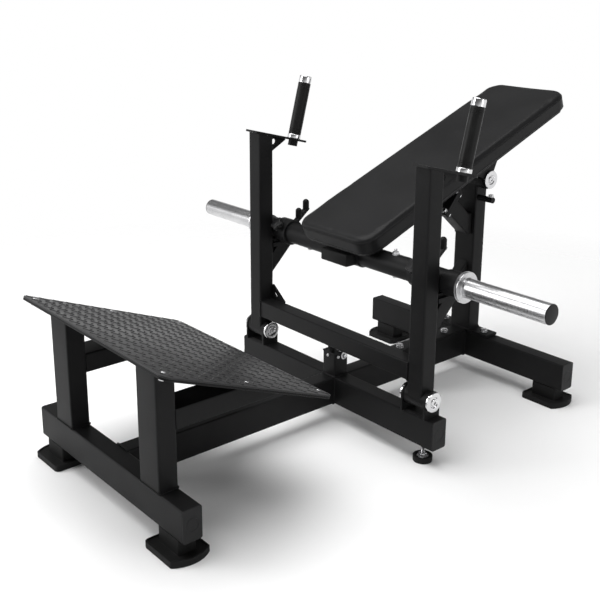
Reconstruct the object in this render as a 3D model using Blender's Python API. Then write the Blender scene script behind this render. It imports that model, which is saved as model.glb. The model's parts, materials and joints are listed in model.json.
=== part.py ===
"""Plate-loaded bridge bench: welded base, foot deck, swing frame with weight bar, and a tilting back pad.

Metres, +Z up, +X to the user's left as they lie on the pad, +Y from the foot deck to the pad.
The origin is on the floor under the middle of the bench's outline.
"""
import math

import bmesh
import bpy
from mathutils import Matrix, Vector

# ---------------------------------------------------------------- clearances
GAP = 0.0003                 # between neighbouring pieces
WELD = 0.0010                # how deep one welded shape reaches into the next

# ---------------------------------------------------------------- frame tube stock
TUBE_HIGH = 0.080
TUBE_WIDE = 0.050
TUBE_WALL = 0.003
TUBE_CORNER = 0.005
SQUARE_TUBE = 0.050
CAP_FACE = 0.0025            # plate of a tube's end plug
CAP_PLUG = 0.014             # its stub inside the tube

# ------------------------------------------------- stations along Y, from the middle cross tube
FRONT_REACH = 0.706          # to the front cross tube
REAR_REACH = 0.558           # to the rear cross tube and the column
FRONT_TUBE_LONG = 0.653
MIDDLE_TUBE_LONG = 0.780
REAR_TUBE_LONG = 0.775

# ---------------------------------------------------------------- feet
FOOT_RISE = 0.051            # floor to the underside of the base tubes
SHOE_THICK = 0.016
SHOE_LONG = 0.108            # straight part, along the cross tube
SHOE_WIDE = 0.101
SHOE_BULGE = 0.018           # how far its outer end bows out
SHOE_RIM = 0.004
SHOE_RECESS = 0.003
SHOE_INSET = 0.012           # from the tube's end to the shoe's outer corners
FOOT_BLOCK_LONG = 0.079
FOOT_BLOCK_WIDE = 0.046
FOOT_BLOCK_INSET = 0.023     # from the tube's end
LEVELLER_X = 0.338
LEVELLER_DISC_RADIUS = 0.0255
LEVELLER_DISC_HIGH = 0.016
LEVELLER_STEM_RADIUS = 0.005
LEVELLER_STEM_TOP = 0.085
BOSS_RADIUS = 0.010
BOSS_HIGH = 0.005

# ---------------------------------------------------------------- foot deck
DECK_WIDE = 0.648
DECK_LONG = 0.493
DECK_SLOPE = math.radians(21.2)
DECK_FRONT_Y = 0.7626        # ahead of the middle cross tube
DECK_FRONT_Z = 0.4445        # top of the tread at its front edge
DECK_PLATE = 0.005
TREAD = 0.004
DECK_CORNER = 0.020
POST_X = 0.198               # centre line of the posts and side rails
RAIL_TOP = 0.3175

# ---------------------------------------------------------------- swing frame
SWING_Y = -0.005             # pivot axis, from the middle cross tube
SWING_Z = 0.175
UPRIGHT_X = 0.3255
CROSS_MEMBER_Z = 0.243
PIVOT_TUBE_RADIUS = 0.026
PIVOT_TUBE_LONG = 0.0710
SHAFT_RADIUS = 0.010
BUSH_WALL = 0.006
STAND_PLATE = 0.006
STAND_RADIUS = 0.028
STAND_STRAP = 0.004
SHAFT_CAP_RADIUS = 0.027
SHAFT_CAP_THICK = 0.007
CORNER_GUSSET = (0.058, 0.044)
GUSSET_PLATE = 0.006
BRACKET_SLOPE = math.radians(14.4)
BRACKET_TOP_Z = 0.772        # top face of a handle bracket over the upright's middle
BRACKET_PLATE = 0.006
BRACKET_FRONT = 0.034        # ahead of the upright's middle
BRACKET_BACK = 0.166         # behind it, to the round end
HANDLE_BACK = 0.124          # handle axis behind the upright's middle
HANDLE_COLLAR = (0.0200, 0.012)
HANDLE_ROD_RADIUS = 0.006
HANDLE_CORE_RADIUS = 0.013
GRIP_RADIUS = 0.0185
GRIP_LONG = 0.153
HANDLE_CAP = 0.020
SOCKET_RADIUS = 0.014
SOCKET_LONG = 0.017

# ---------------------------------------------------------------- weight bar
BAR_RADIUS = 0.030
BAR_WALL = 0.003
BAR_Z = 0.478
BAR_CLEAR = 0.0015           # behind the uprights
STUB_RADIUS = 0.033
STUB_START = UPRIGHT_X + 0.0265   # the thicker ends start beyond the bar arms
STUB_LONG = 0.048
STUB_END = STUB_START + STUB_LONG
SLEEVE_RADIUS = 0.025        # takes plates with a 50 mm bore
SLEEVE_WALL = 0.003
SLEEVE_LONG = 0.257
SLEEVE_END = STUB_END + SLEEVE_LONG
SLEEVE_FLANGE = (0.040, 0.012)
REST_SLEEVE = (0.034, 0.055)
REST_BLOCK = (0.100, 0.046, 0.034)
ARM_WIDE = 0.050
ARM_THICK = 0.012
ARM_BACK = 0.105             # behind the upright's middle
SADDLE_HIGH = 0.009
BRACE_TUBE = 0.042
BRACE_WIDE = 0.040

# ---------------------------------------------------------------- belt collars
COLLAR_X = UPRIGHT_X - 0.0555    # clear of the bar arms
COLLAR_LONG = 0.050
COLLAR_WALL = 0.0065
COLLAR_CLEAR = 0.0005
HOOK_RISE = math.radians(39)  # the hook arm's slope behind the bar
HOOK_REACH = 0.098
HOOK_BAR = (0.016, 0.010)
PEG_RADIUS = 0.0095
PEG_HIGH = 0.024
PEG_STATIONS = (0.053, 0.089)
KNOB_ANGLE = math.radians(35)
KNOB_RADIUS = 0.021
KNOB_THICK = 0.014
KNOB_STEM = 0.004

# ---------------------------------------------------------------- column and pad
COLUMN_WIDE = 0.075
COLUMN_DEEP = 0.050
COLUMN_PLATE = 0.008
COLUMN_PLATE_HALF = 0.108
COLUMN_PLATE_FRONT = 0.233   # front end, behind the middle cross tube
SIDE_BOLT_X = 0.078
SPINE_BOLTS_Y = (0.262, 0.462)
BOLT_RADIUS = 0.006
BOLT_DEEP = 0.026
COLUMN_BRACE_WIDE = 0.038
COLUMN_BRACE_DEEP = 0.045
COLUMN_BRACE_TOP = 0.361     # where its top face meets the column
PAD_PIVOT_Z = 0.621
PAD_PIVOT_RADIUS = 0.030
PAD_PIVOT_HALF = 0.0592
STOP_BAR_RADIUS = 0.009
STOP_BAR_HALF = 0.092
STOP_BAR_Z = 0.563
PAD_TILT = math.radians(21.3)
PAD_WIDE = 0.281
PAD_LONG = 0.906
PAD_FRONT_Y = -0.0345        # from the middle cross tube
PAD_FRONT_Z = 0.5475         # top face at its front edge
PAD_SOFT = 0.045
PAD_BOARD = 0.010
PAD_CORNER = 0.045
PAD_RAIL = (0.060, 0.030)
PAD_RAIL_SPAN = (0.150, 0.830)
CLEVIS_PLATE = 0.006
CLEVIS_TOP_LONG = 0.130
CLEVIS_RADIUS = 0.028
PAD_STOP_SLOPE = math.radians(41)
PAD_STOP_AHEAD = 0.133       # middle of the bolted flanges, ahead of the column's middle
PAD_STOP_Z = 0.564
FLANGE = (0.090, 0.093, 0.008)
FLANGE_OPENING = 0.012
BUMPER_THICK = 0.012

# ---------------------------------------------------------------- stop post of the swing frame
STOP_POST_TOP = 0.201
STOP_BUMPER_RADIUS = 0.0100

ROUND = 20                   # facets of a turned piece
CORNER_STEPS = 2

# The origin stands halfway between the foot deck's nose and the pad's tail.
DECK_NOSE = DECK_FRONT_Y + (TREAD + GAP + DECK_PLATE) * math.sin(DECK_SLOPE)
PAD_TAIL = PAD_FRONT_Y + PAD_LONG * math.cos(PAD_TILT) + PAD_SOFT * math.sin(PAD_TILT)
MIDDLE_Y = (DECK_NOSE - PAD_TAIL) / 2

BASE_TOP = FOOT_RISE + TUBE_HIGH
BASE_MIDDLE = FOOT_RISE + TUBE_HIGH / 2
FRONT_Y = MIDDLE_Y - FRONT_REACH
REAR_Y = MIDDLE_Y + REAR_REACH
SWING_AXIS = Vector((0.0, MIDDLE_Y + SWING_Y, SWING_Z))
UPRIGHT_REAR = SWING_AXIS.y + SQUARE_TUBE / 2
BAR_Y = UPRIGHT_REAR + BAR_CLEAR + BAR_RADIUS
PAD_AXIS = Vector((0.0, REAR_Y, PAD_PIVOT_Z))
SIDES = (("left", 1.0), ("right", -1.0))


# ---------------------------------------------------------------- materials and objects
def make_material(name, colour, roughness, metallic):
    material = bpy.data.materials.new(name)
    material.use_nodes = True
    shader = material.node_tree.nodes["Principled BSDF"]
    shader.inputs["Base Color"].default_value = (*colour, 1.0)
    shader.inputs["Roughness"].default_value = roughness
    shader.inputs["Metallic"].default_value = metallic
    return material


LOOKS = {
    "frame": ((0.025, 0.025, 0.027), 0.45, 0.0),
    "plastic": ((0.020, 0.020, 0.021), 0.55, 0.0),
    "rubber": ((0.018, 0.018, 0.018), 0.80, 0.0),
    "tread": ((0.035, 0.035, 0.037), 0.50, 0.0),
    "chrome": ((0.80, 0.80, 0.81), 0.12, 1.0),
    "bronze": ((0.55, 0.38, 0.18), 0.40, 1.0),
    "upholstery": ((0.015, 0.015, 0.016), 0.50, 0.0),
    "plywood": ((0.022, 0.020, 0.018), 0.70, 0.0),
}


def dress(piece, look):
    """Give a piece a material of its own with the named look."""
    piece.data.materials.clear()
    piece.data.materials.append(make_material(piece.name + "_" + look, *LOOKS[look]))
    return piece


def make_object(name, shape):
    """Turn a bmesh into an object at the world origin, with its faces pointing out."""
    bmesh.ops.recalc_face_normals(shape, faces=shape.faces[:])
    mesh = bpy.data.meshes.new(name)
    shape.to_mesh(mesh)
    shape.free()
    piece = bpy.data.objects.new(name, mesh)
    bpy.context.collection.objects.link(piece)
    return piece


def smooth(piece, angle=math.radians(40)):
    piece.data.shade_smooth()
    piece.data.set_sharp_from_angle(angle=angle)
    return piece


def make_empty(name, place, turn=(0.0, 0.0, 0.0)):
    guide = bpy.data.objects.new(name, None)
    guide.location = place
    guide.rotation_euler = turn
    bpy.context.collection.objects.link(guide)
    return guide


def hang(piece, guide, place=(0.0, 0.0, 0.0), turn=(0.0, 0.0, 0.0)):
    """Fix a piece to a guide empty, at a place and turn measured from it."""
    piece.parent = guide
    piece.location = place
    piece.rotation_euler = turn
    return piece


def bake(piece):
    """Turn a piece's modifiers into its mesh."""
    bpy.context.view_layer.update()
    graph = bpy.context.evaluated_depsgraph_get()
    mesh = bpy.data.meshes.new_from_object(piece.evaluated_get(graph))
    piece.modifiers.clear()
    piece.data = mesh
    return piece


def combine(piece, others, operation="UNION"):
    """Weld others onto a piece, or cut them out of it, and remove them."""
    for other in others:
        step = piece.modifiers.new(operation, "BOOLEAN")
        step.operation = operation
        step.solver = "EXACT"
        step.object = other
    bake(piece)
    for other in others:
        bpy.data.objects.remove(other)
    return piece


def cut(piece, *others):
    return combine(piece, others, "DIFFERENCE")


def move_mesh(piece, matrix):
    piece.data.transform(matrix)
    return piece


# ---------------------------------------------------------------- outlines
def rounded(points, radius, steps=CORNER_STEPS):
    """Round every corner of a polygon given in order, each fillet limited by its two sides."""
    outline = []
    count = len(points)
    for index, point in enumerate(points):
        corner = Vector(point)
        before = Vector(points[index - 1]) - corner
        after = Vector(points[(index + 1) % count]) - corner
        half = before.angle(after) / 2
        reach = min(radius / math.tan(half), 0.45 * before.length, 0.45 * after.length)
        fillet = reach * math.tan(half)
        middle = corner + (before.normalized() + after.normalized()).normalized() * fillet / math.sin(half)
        start = corner + before.normalized() * reach - middle
        turn = start.angle_signed(corner + after.normalized() * reach - middle)
        for step in range(steps + 1):
            outline.append(middle + Matrix.Rotation(-turn * step / steps, 2) @ start)
    return outline


def rectangle(wide, high, radius=0.0, centre=(0.0, 0.0)):
    x, y = centre
    corners = [(x - wide / 2, y - high / 2), (x + wide / 2, y - high / 2),
               (x + wide / 2, y + high / 2), (x - wide / 2, y + high / 2)]
    return rounded(corners, radius) if radius else [Vector(corner) for corner in corners]


def circle(radius, centre=(0.0, 0.0), count=ROUND):
    x, y = centre
    turns = [2 * math.pi * (index + 0.5) / count for index in range(count)]
    return [Vector((x + radius * math.cos(turn), y + radius * math.sin(turn))) for turn in turns]


def arc(radius, centre, start, end, count):
    x, y = centre
    turns = [start + (end - start) * index / count for index in range(count + 1)]
    return [Vector((x + radius * math.cos(turn), y + radius * math.sin(turn))) for turn in turns]


# ---------------------------------------------------------------- solids
def prism(name, outline, thick, holes=()):
    """Extrude an outline with holes, from the XY plane up to the given thickness."""
    shape = bmesh.new()
    edges = []
    for loop in (outline, *holes):
        corners = [shape.verts.new((point[0], point[1], 0.0)) for point in loop]
        edges += [shape.edges.new((corners[index - 1], corners[index])) for index in range(len(corners))]
    bmesh.ops.triangle_fill(shape, edges=edges, use_beauty=True, normal=(0, 0, 1))
    bottom = shape.faces[:]
    top = bmesh.ops.extrude_face_region(shape, geom=bottom, use_keep_orig=True)["geom"]
    rising = [item for item in top if isinstance(item, bmesh.types.BMVert)]
    bmesh.ops.translate(shape, verts=rising, vec=(0, 0, thick))
    return make_object(name, shape)


def block(name, size, centre=(0.0, 0.0, 0.0)):
    shape = bmesh.new()
    bmesh.ops.create_cube(shape, size=1.0)
    bmesh.ops.scale(shape, verts=shape.verts[:], vec=size)
    bmesh.ops.translate(shape, verts=shape.verts[:], vec=centre)
    return make_object(name, shape)


def turned(name, profile, count=ROUND):
    """Turn a profile of (radius, height) round Z. It closes on itself, or ends on the axis."""
    shape = bmesh.new()
    corners = [shape.verts.new((radius, 0.0, height)) for radius, height in profile]
    pairs = list(zip(corners, corners[1:]))
    if min(profile[0][0], profile[-1][0]) > 0:
        pairs.append((corners[-1], corners[0]))
    edges = [shape.edges.new(pair) for pair in pairs]
    bmesh.ops.spin(shape, geom=corners + edges, axis=(0, 0, 1), cent=(0, 0, 0),
                   steps=count, angle=2 * math.pi, use_merge=True)
    bmesh.ops.remove_doubles(shape, verts=shape.verts[:], dist=1e-6)
    return smooth(make_object(name, shape))


def ring(name, outer, inner, long):
    """A plain round tube along Z, with its middle at the origin."""
    half = long / 2
    return turned(name, [(inner, -half), (outer, -half), (outer, half), (inner, half)])


def rod(name, radius, long, centre=0.0, count=ROUND):
    """A plain round bar along Z."""
    bar = prism(name, circle(radius, count=count), long)
    return smooth(move_mesh(bar, Matrix.Translation((0, 0, centre - long / 2))))


ALONG_X = Matrix.Rotation(math.pi / 2, 4, "Y")
ALONG_Y = Matrix.Rotation(-math.pi / 2, 4, "X")
STAND_UP_YZ = Matrix(((0, 0, 1, 0), (1, 0, 0, 0), (0, 1, 0, 0), (0, 0, 0, 1)))


def box_tube(name, wide, high, long, wall=TUBE_WALL, corner=TUBE_CORNER):
    """A rectangular tube along Z, wide in X and high in Y, with its middle at the origin."""
    tube = prism(name, rectangle(wide, high, corner), long,
                 [rectangle(wide - 2 * wall, high - 2 * wall, max(corner - wall, 0.0005))])
    return move_mesh(tube, Matrix.Translation((0, 0, -long / 2)))


def side_plate(name, outline, thick, holes=()):
    """A plate in the YZ plane, centred on X, from an outline of (y, z)."""
    plate = prism(name, outline, thick, holes)
    return move_mesh(plate, STAND_UP_YZ @ Matrix.Translation((0, 0, -thick / 2)))


# ---------------------------------------------------------------- base
def cross_tube(name, long, y):
    """One crosswise base tube, without the end plugs that make up its length."""
    bare = long - 2 * (CAP_FACE + GAP)
    tube = box_tube(name, TUBE_HIGH, TUBE_WIDE, bare)
    move_mesh(tube, ALONG_X)
    tube.location = (0.0, y, BASE_MIDDLE)
    for side, sign in SIDES:
        dress(end_plug(name.replace("cross_tube", "tube_plug") + "_" + side, sign, bare / 2, y), "plastic")
    return dress(tube, "frame")


def end_plug(name, sign, tube_end, y):
    """A plastic plug: a face as large as the tube, and a stub inside it."""
    inside = 2 * (TUBE_WALL + GAP)
    face = prism(name, rectangle(TUBE_HIGH, TUBE_WIDE, TUBE_CORNER), CAP_FACE)
    move_mesh(face, Matrix.Translation((0, 0, GAP)))
    stub = prism("stub", rectangle(TUBE_HIGH - inside, TUBE_WIDE - inside, 0.002), CAP_PLUG + WELD)
    move_mesh(stub, Matrix.Translation((0, 0, GAP - CAP_PLUG)))
    combine(face, [stub])
    move_mesh(face, Matrix.Rotation(sign * math.pi / 2, 4, "Y"))
    face.location = (sign * tube_end, y, BASE_MIDDLE)
    return face


def spine_tube(name, start, end):
    long = end - start - 2 * GAP
    tube = box_tube(name, TUBE_WIDE, TUBE_HIGH, long)
    move_mesh(tube, ALONG_Y)
    tube.location = (0.0, (start + end) / 2, BASE_MIDDLE)
    return dress(tube, "frame")


def shoe_outline(inset):
    """The tread of a rubber foot, outer end bowed out towards +X, shrunk by inset."""
    half_long = SHOE_LONG / 2 - inset
    half_wide = SHOE_WIDE / 2 - inset
    radius = (half_wide ** 2 + SHOE_BULGE ** 2) / (2 * SHOE_BULGE)
    sweep = math.asin(half_wide / radius)
    bow = arc(radius, (half_long + SHOE_BULGE - radius, 0.0), -sweep, sweep, 8)
    inner = rounded([(half_long, -half_wide), (-half_long, -half_wide),
                     (-half_long, half_wide), (half_long, half_wide)], 0.010)
    turn = CORNER_STEPS + 1
    return list(reversed(inner[turn:3 * turn])) + bow


def rubber_foot(name, sign, tube_long, y):
    """A block under a cross tube, moulded into a wide shoe with a raised rim."""
    middle = tube_long / 2 - SHOE_INSET - SHOE_LONG / 2
    block_middle = tube_long / 2 - FOOT_BLOCK_INSET - FOOT_BLOCK_LONG / 2 - middle
    shoe = prism(name, shoe_outline(0.0), SHOE_THICK)
    recess = prism("recess", shoe_outline(SHOE_RIM), SHOE_THICK)
    move_mesh(recess, Matrix.Translation((0, 0, SHOE_THICK - SHOE_RECESS)))
    cut(shoe, recess)
    leg_low = SHOE_THICK - SHOE_RECESS - WELD
    leg = prism("leg", rectangle(FOOT_BLOCK_LONG, FOOT_BLOCK_WIDE, 0.003, (block_middle, 0.0)),
                FOOT_RISE - GAP - leg_low)
    move_mesh(leg, Matrix.Translation((0, 0, leg_low)))
    combine(shoe, [leg])
    if sign < 0:
        move_mesh(shoe, Matrix.Rotation(math.pi, 4, "Z"))
    shoe.location = (sign * middle, y, 0.0)
    return dress(shoe, "rubber")


def levelling_foot(name, sign):
    """A round pad on a threaded stem that screws up into the middle cross tube."""
    foot = turned(name, [(0.0, 0.0), (LEVELLER_DISC_RADIUS - 0.002, 0.0),
                         (LEVELLER_DISC_RADIUS, 0.002), (LEVELLER_DISC_RADIUS, LEVELLER_DISC_HIGH - 0.002),
                         (LEVELLER_DISC_RADIUS - 0.003, LEVELLER_DISC_HIGH),
                         (LEVELLER_STEM_RADIUS, LEVELLER_DISC_HIGH),
                         (LEVELLER_STEM_RADIUS, LEVELLER_STEM_TOP), (0.0, LEVELLER_STEM_TOP)])
    axis = make_empty(name + "_axis", (sign * LEVELLER_X, MIDDLE_Y, 0.0))
    return dress(hang(foot, axis), "rubber")


def add_levelling_bosses(tube):
    """Weld a threaded boss under each end of the middle cross tube, and bore it."""
    bosses = []
    bores = []
    for _, sign in SIDES:
        high = BOSS_HIGH + TUBE_WALL / 2
        boss = rod("boss", BOSS_RADIUS, high, FOOT_RISE - BOSS_HIGH + high / 2)
        bore = rod("bore", LEVELLER_STEM_RADIUS + GAP, 0.030, FOOT_RISE, 16)
        for piece in (boss, bore):
            piece.location = (sign * LEVELLER_X, MIDDLE_Y, 0.0)
        bosses.append(boss)
        bores.append(bore)
    combine(tube, bosses)
    cut(tube, *bores)
    return smooth(tube)


def deck_frame():
    """The foot deck's own frame: y runs down the slope from the front edge, z stands off its top."""
    place = Matrix.Translation((0.0, MIDDLE_Y - DECK_FRONT_Y, DECK_FRONT_Z))
    return place @ Matrix.Rotation(-DECK_SLOPE, 4, "X")


def deck_sheet(name, thick, top):
    sheet = prism(name, rectangle(DECK_WIDE, DECK_LONG, DECK_CORNER, (0.0, DECK_LONG / 2)), thick)
    return move_mesh(sheet, deck_frame() @ Matrix.Translation((0, 0, top - thick)))


def over_deck():
    """A cutter that holds everything above the underside of the foot plate."""
    under = -(TREAD + GAP + DECK_PLATE + GAP)
    cutter = block("over_deck", (1.0, 1.4, 0.4), (0.0, 0.3, under + 0.2))
    return move_mesh(cutter, deck_frame())


def foot_support(name, sign):
    """A post on the front cross tube with the rail that runs back from it under the deck."""
    post_high = DECK_FRONT_Z - BASE_TOP
    post = box_tube(name, TUBE_HIGH, TUBE_WIDE, post_high)
    move_mesh(post, Matrix.Translation((0.0, FRONT_Y, BASE_TOP + GAP + post_high / 2)))
    rail_start = FRONT_Y + TUBE_WIDE / 2 - WELD
    rail = box_tube("rail", TUBE_HIGH, TUBE_WIDE, DECK_LONG)
    move_mesh(rail, Matrix.Translation((0.0, rail_start + DECK_LONG / 2, RAIL_TOP - TUBE_WIDE / 2)) @ ALONG_Y)
    cut(rail, over_deck())
    cut(post, over_deck())
    combine(post, [rail])
    post.location.x = sign * POST_X
    return dress(post, "frame")


# ---------------------------------------------------------------- stands and swing frame
def bearing_stand(name, sign):
    """Two round-topped cheeks on a strap, which hold one end of the swing frame."""
    inner_face = PIVOT_TUBE_LONG / 2 + GAP
    seat = BASE_TOP + GAP - SWING_Z
    strap = block(name, (2 * (inner_face + STAND_PLATE), TUBE_WIDE - 0.008, STAND_STRAP),
                  (0.0, MIDDLE_Y - SWING_AXIS.y, seat + STAND_STRAP / 2))
    cheeks = []
    for _, hand in SIDES:
        outline = [Vector((STAND_RADIUS, seat)), *arc(STAND_RADIUS, (0, 0), 0.0, math.pi, 16),
                   Vector((-STAND_RADIUS, seat))]
        cheek = side_plate("cheek", outline, STAND_PLATE, [circle(SHAFT_RADIUS + GAP, count=ROUND)])
        cheek.location.x = hand * (inner_face + STAND_PLATE / 2)
        cheeks.append(cheek)
    combine(strap, cheeks)
    strap.location = (sign * UPRIGHT_X, SWING_AXIS.y, SWING_AXIS.z)
    return dress(smooth(strap), "frame")


def capped_shaft(name, half_grip, cap_radius, cap_thick):
    """A shaft along X with a domed cap on each end, half_grip from the middle to a cap."""
    inner = half_grip + GAP
    outer = inner + cap_thick
    half = [(0.0, outer), (cap_radius - 0.006, outer - 0.0005), (cap_radius - 0.001, outer - 0.0025),
            (cap_radius, outer - 0.0045), (cap_radius, inner), (SHAFT_RADIUS, inner)]
    profile = half + [(radius, -height) for radius, height in reversed(half)]
    return move_mesh(turned(name, profile), ALONG_X)


def bush(name, long):
    """A plain sleeve bearing along X, round a shaft."""
    return move_mesh(ring(name, SHAFT_RADIUS + GAP + BUSH_WALL, SHAFT_RADIUS + GAP, long), ALONG_X)


def over_bracket():
    """A cutter that holds everything above the underside of the handle brackets."""
    cutter = block("over_bracket", (0.2, 0.6, 0.2), (0.0, 0.0, 0.1 - BRACKET_PLATE - GAP))
    return move_mesh(cutter, bracket_frame())


def bracket_frame():
    """Frame of a handle bracket, from the swing axis: y runs back down its slope, z off its top."""
    place = Matrix.Translation((0.0, 0.0, BRACKET_TOP_Z - SWING_Z))
    return place @ Matrix.Rotation(-BRACKET_SLOPE, 4, "X")


def swing_upright(name, sign, guide):
    """A square upright welded onto its crosswise pivot tube."""
    bore = SHAFT_RADIUS + 2 * GAP + BUSH_WALL
    high = BRACKET_TOP_Z - SWING_Z
    post = box_tube(name, SQUARE_TUBE, SQUARE_TUBE, high)
    move_mesh(post, Matrix.Translation((0, 0, high / 2)))
    saddle = move_mesh(rod("saddle", PIVOT_TUBE_RADIUS - 0.003, 0.1), ALONG_X)
    cut(post, saddle)
    cut(post, over_bracket())
    pivot = move_mesh(ring("pivot", PIVOT_TUBE_RADIUS, bore, PIVOT_TUBE_LONG), ALONG_X)
    combine(post, [pivot])
    return dress(smooth(hang(post, guide, (sign * UPRIGHT_X, 0, 0))), "frame")


def swing_cross_tube(guide):
    """The member between the uprights, with a slotted gusset welded into each top corner."""
    half = UPRIGHT_X - SQUARE_TUBE / 2 - GAP
    tube = move_mesh(box_tube("swing_cross_tube", SQUARE_TUBE, SQUARE_TUBE, 2 * half), ALONG_X)
    long, high = CORNER_GUSSET
    top = SQUARE_TUBE / 2
    for _, sign in SIDES:
        corners = [(half - long, top - WELD), (half, top - WELD), (half, top + high),
                   (half - 0.006, top + high), (half - long, top + 0.003)]
        slot_middle = Vector((half - 0.30 * long, top + 0.36 * high))
        slot_turn = Matrix.Rotation(math.atan2(high, long), 2)
        slot = [slot_middle + slot_turn @ point for point in rectangle(0.020, 0.008, 0.0039)]
        plate = prism("gusset", corners, GUSSET_PLATE, [slot])
        move_mesh(plate, Matrix.Translation((0, SQUARE_TUBE / 2, 0)) @ Matrix.Rotation(math.pi / 2, 4, "X"))
        if sign < 0:
            to_front = Matrix.Translation((0, GUSSET_PLATE - SQUARE_TUBE, 0))
            move_mesh(plate, Matrix.Rotation(math.pi, 4, "Z") @ to_front)
        combine(tube, [plate])
    return dress(hang(tube, guide, (0, 0, CROSS_MEMBER_Z - SWING_Z)), "frame")


def handle_bracket(name, sign, guide):
    """A sloping plate on top of an upright, with a gusset under it and a socket for the handle."""
    wide = SQUARE_TUBE - 0.001
    round_start = BRACKET_BACK / math.cos(BRACKET_SLOPE) - wide / 2
    front = BRACKET_FRONT / math.cos(BRACKET_SLOPE)
    handle = HANDLE_BACK / math.cos(BRACKET_SLOPE)
    outline = [Vector((-wide / 2, -front)), Vector((wide / 2, -front)),
               *arc(wide / 2, (0.0, round_start), 0.0, math.pi, 10)]
    plate = prism(name, outline, BRACKET_PLATE)
    move_mesh(plate, bracket_frame() @ Matrix.Translation((0, 0, -BRACKET_PLATE)))
    at_handle = bracket_frame() @ Matrix.Translation((0, handle, 0))
    socket = rod("socket", SOCKET_RADIUS, SOCKET_LONG, WELD - BRACKET_PLATE - SOCKET_LONG / 2)
    move_mesh(socket, at_handle)
    bore = move_mesh(rod("bore", HANDLE_ROD_RADIUS + GAP, 0.1, count=16), at_handle)
    rear = SQUARE_TUBE / 2 + GAP
    run = 0.064
    drop = math.tan(BRACKET_SLOPE)
    ceiling = BRACKET_TOP_Z - SWING_Z - BRACKET_PLATE / math.cos(BRACKET_SLOPE) + WELD
    near = ceiling - rear * drop
    far = ceiling - (rear + run) * drop
    corners = [(rear, near), (rear, near - 0.052), (rear + 0.007, near - 0.052), (rear + run, far - 0.004),
               (rear + run, far)]
    hole = circle(0.0085, (rear + 0.020, near - 0.021), 12)
    gusset = side_plate("gusset", corners, GUSSET_PLATE, [hole])
    combine(plate, [socket, gusset])
    cut(plate, bore)
    return dress(smooth(hang(plate, guide, (sign * UPRIGHT_X, 0, 0))), "frame")


def handle_place():
    handle = HANDLE_BACK / math.cos(BRACKET_SLOPE)
    return bracket_frame() @ Matrix.Translation((0, handle, GAP))


def handle_rod(name, sign, guide):
    """The steel of a handle: a rod through the bracket, a collar, a core and a bright end cap."""
    collar_radius, collar = HANDLE_COLLAR
    top = collar + GRIP_LONG + 2 * GAP
    below = -(BRACKET_PLATE + SOCKET_LONG + 0.002)
    profile = [(0.0, below), (HANDLE_ROD_RADIUS, below), (HANDLE_ROD_RADIUS, 0.0), (collar_radius, 0.0),
               (collar_radius, collar - 0.001), (collar_radius - 0.001, collar), (HANDLE_CORE_RADIUS, collar),
               (HANDLE_CORE_RADIUS, top), (GRIP_RADIUS, top), (GRIP_RADIUS, top + HANDLE_CAP - 0.002),
               (GRIP_RADIUS - 0.002, top + HANDLE_CAP), (0.0, top + HANDLE_CAP)]
    piece = move_mesh(turned(name, profile), handle_place())
    return dress(hang(piece, guide, (sign * UPRIGHT_X, 0, 0)), "chrome")


def handle_grip(name, sign, guide):
    start = HANDLE_COLLAR[1] + GAP
    inner = HANDLE_CORE_RADIUS + GAP
    grip = ring(name, GRIP_RADIUS, inner, GRIP_LONG)
    move_mesh(grip, handle_place() @ Matrix.Translation((0, 0, start + GRIP_LONG / 2)))
    return dress(hang(grip, guide, (sign * UPRIGHT_X, 0, 0)), "rubber")


def bar_arm(name, sign, guide):
    """A flat arm behind an upright with the saddle that carries the bar, and a brace under it."""
    rear = SQUARE_TUBE / 2 + GAP
    top = BAR_Z - SWING_Z - BAR_RADIUS - GAP - SADDLE_HIGH
    long = ARM_BACK - rear
    arm = block(name, (ARM_WIDE, long, ARM_THICK), (0, rear + long / 2, top - ARM_THICK / 2))
    saddle = block("saddle", (0.030, 0.044, SADDLE_HIGH + WELD),
                   (0, BAR_Y - SWING_AXIS.y, top + (SADDLE_HIGH - WELD) / 2))
    foot_z = top - ARM_THICK - (ARM_BACK - rear)
    turn = Matrix.Rotation(-math.pi / 4, 4, "X")
    middle = Vector((0, rear, foot_z)) + Vector((0, -1, 1)).normalized() * BRACE_TUBE / 2
    brace = box_tube("brace", BRACE_WIDE, BRACE_TUBE, 0.30, 0.0025, 0.003)
    move_mesh(brace, Matrix.Translation(middle) @ turn)
    cut(brace, block("ahead", (0.1, 0.4, 0.8), (0, rear - 0.2, foot_z)),
        block("above", (0.1, 0.8, 0.4), (0, rear, top - ARM_THICK + WELD + 0.2)))
    combine(arm, [saddle, brace])
    return dress(hang(arm, guide, (sign * UPRIGHT_X, 0, 0)), "frame")


def crossbar(guide):
    """The bar: a round tube with thicker ends, and a sleeve with the block the pad's nose sits over."""
    bore = BAR_RADIUS - BAR_WALL
    rest_radius, rest_half = REST_SLEEVE
    half = [(bore, STUB_END - GAP), (STUB_RADIUS, STUB_END - GAP), (STUB_RADIUS, STUB_START),
            (BAR_RADIUS, STUB_START), (BAR_RADIUS, rest_half), (rest_radius, rest_half)]
    bar = turned("crossbar", half + [(radius, -height) for radius, height in reversed(half)])
    move_mesh(bar, ALONG_X)
    wide, deep, high = REST_BLOCK
    rest = prism("rest", rectangle(deep, high, 0.006, (-0.065 + deep / 2, -0.006)), wide)
    move_mesh(rest, STAND_UP_YZ @ Matrix.Translation((0, 0, -wide / 2)))
    cut(rest, move_mesh(rod("room", BAR_RADIUS - WELD, wide + 0.02), ALONG_X))
    combine(bar, [rest])
    return dress(smooth(hang(bar, guide, (0, BAR_Y - SWING_AXIS.y, BAR_Z - SWING_Z))), "frame")


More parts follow.
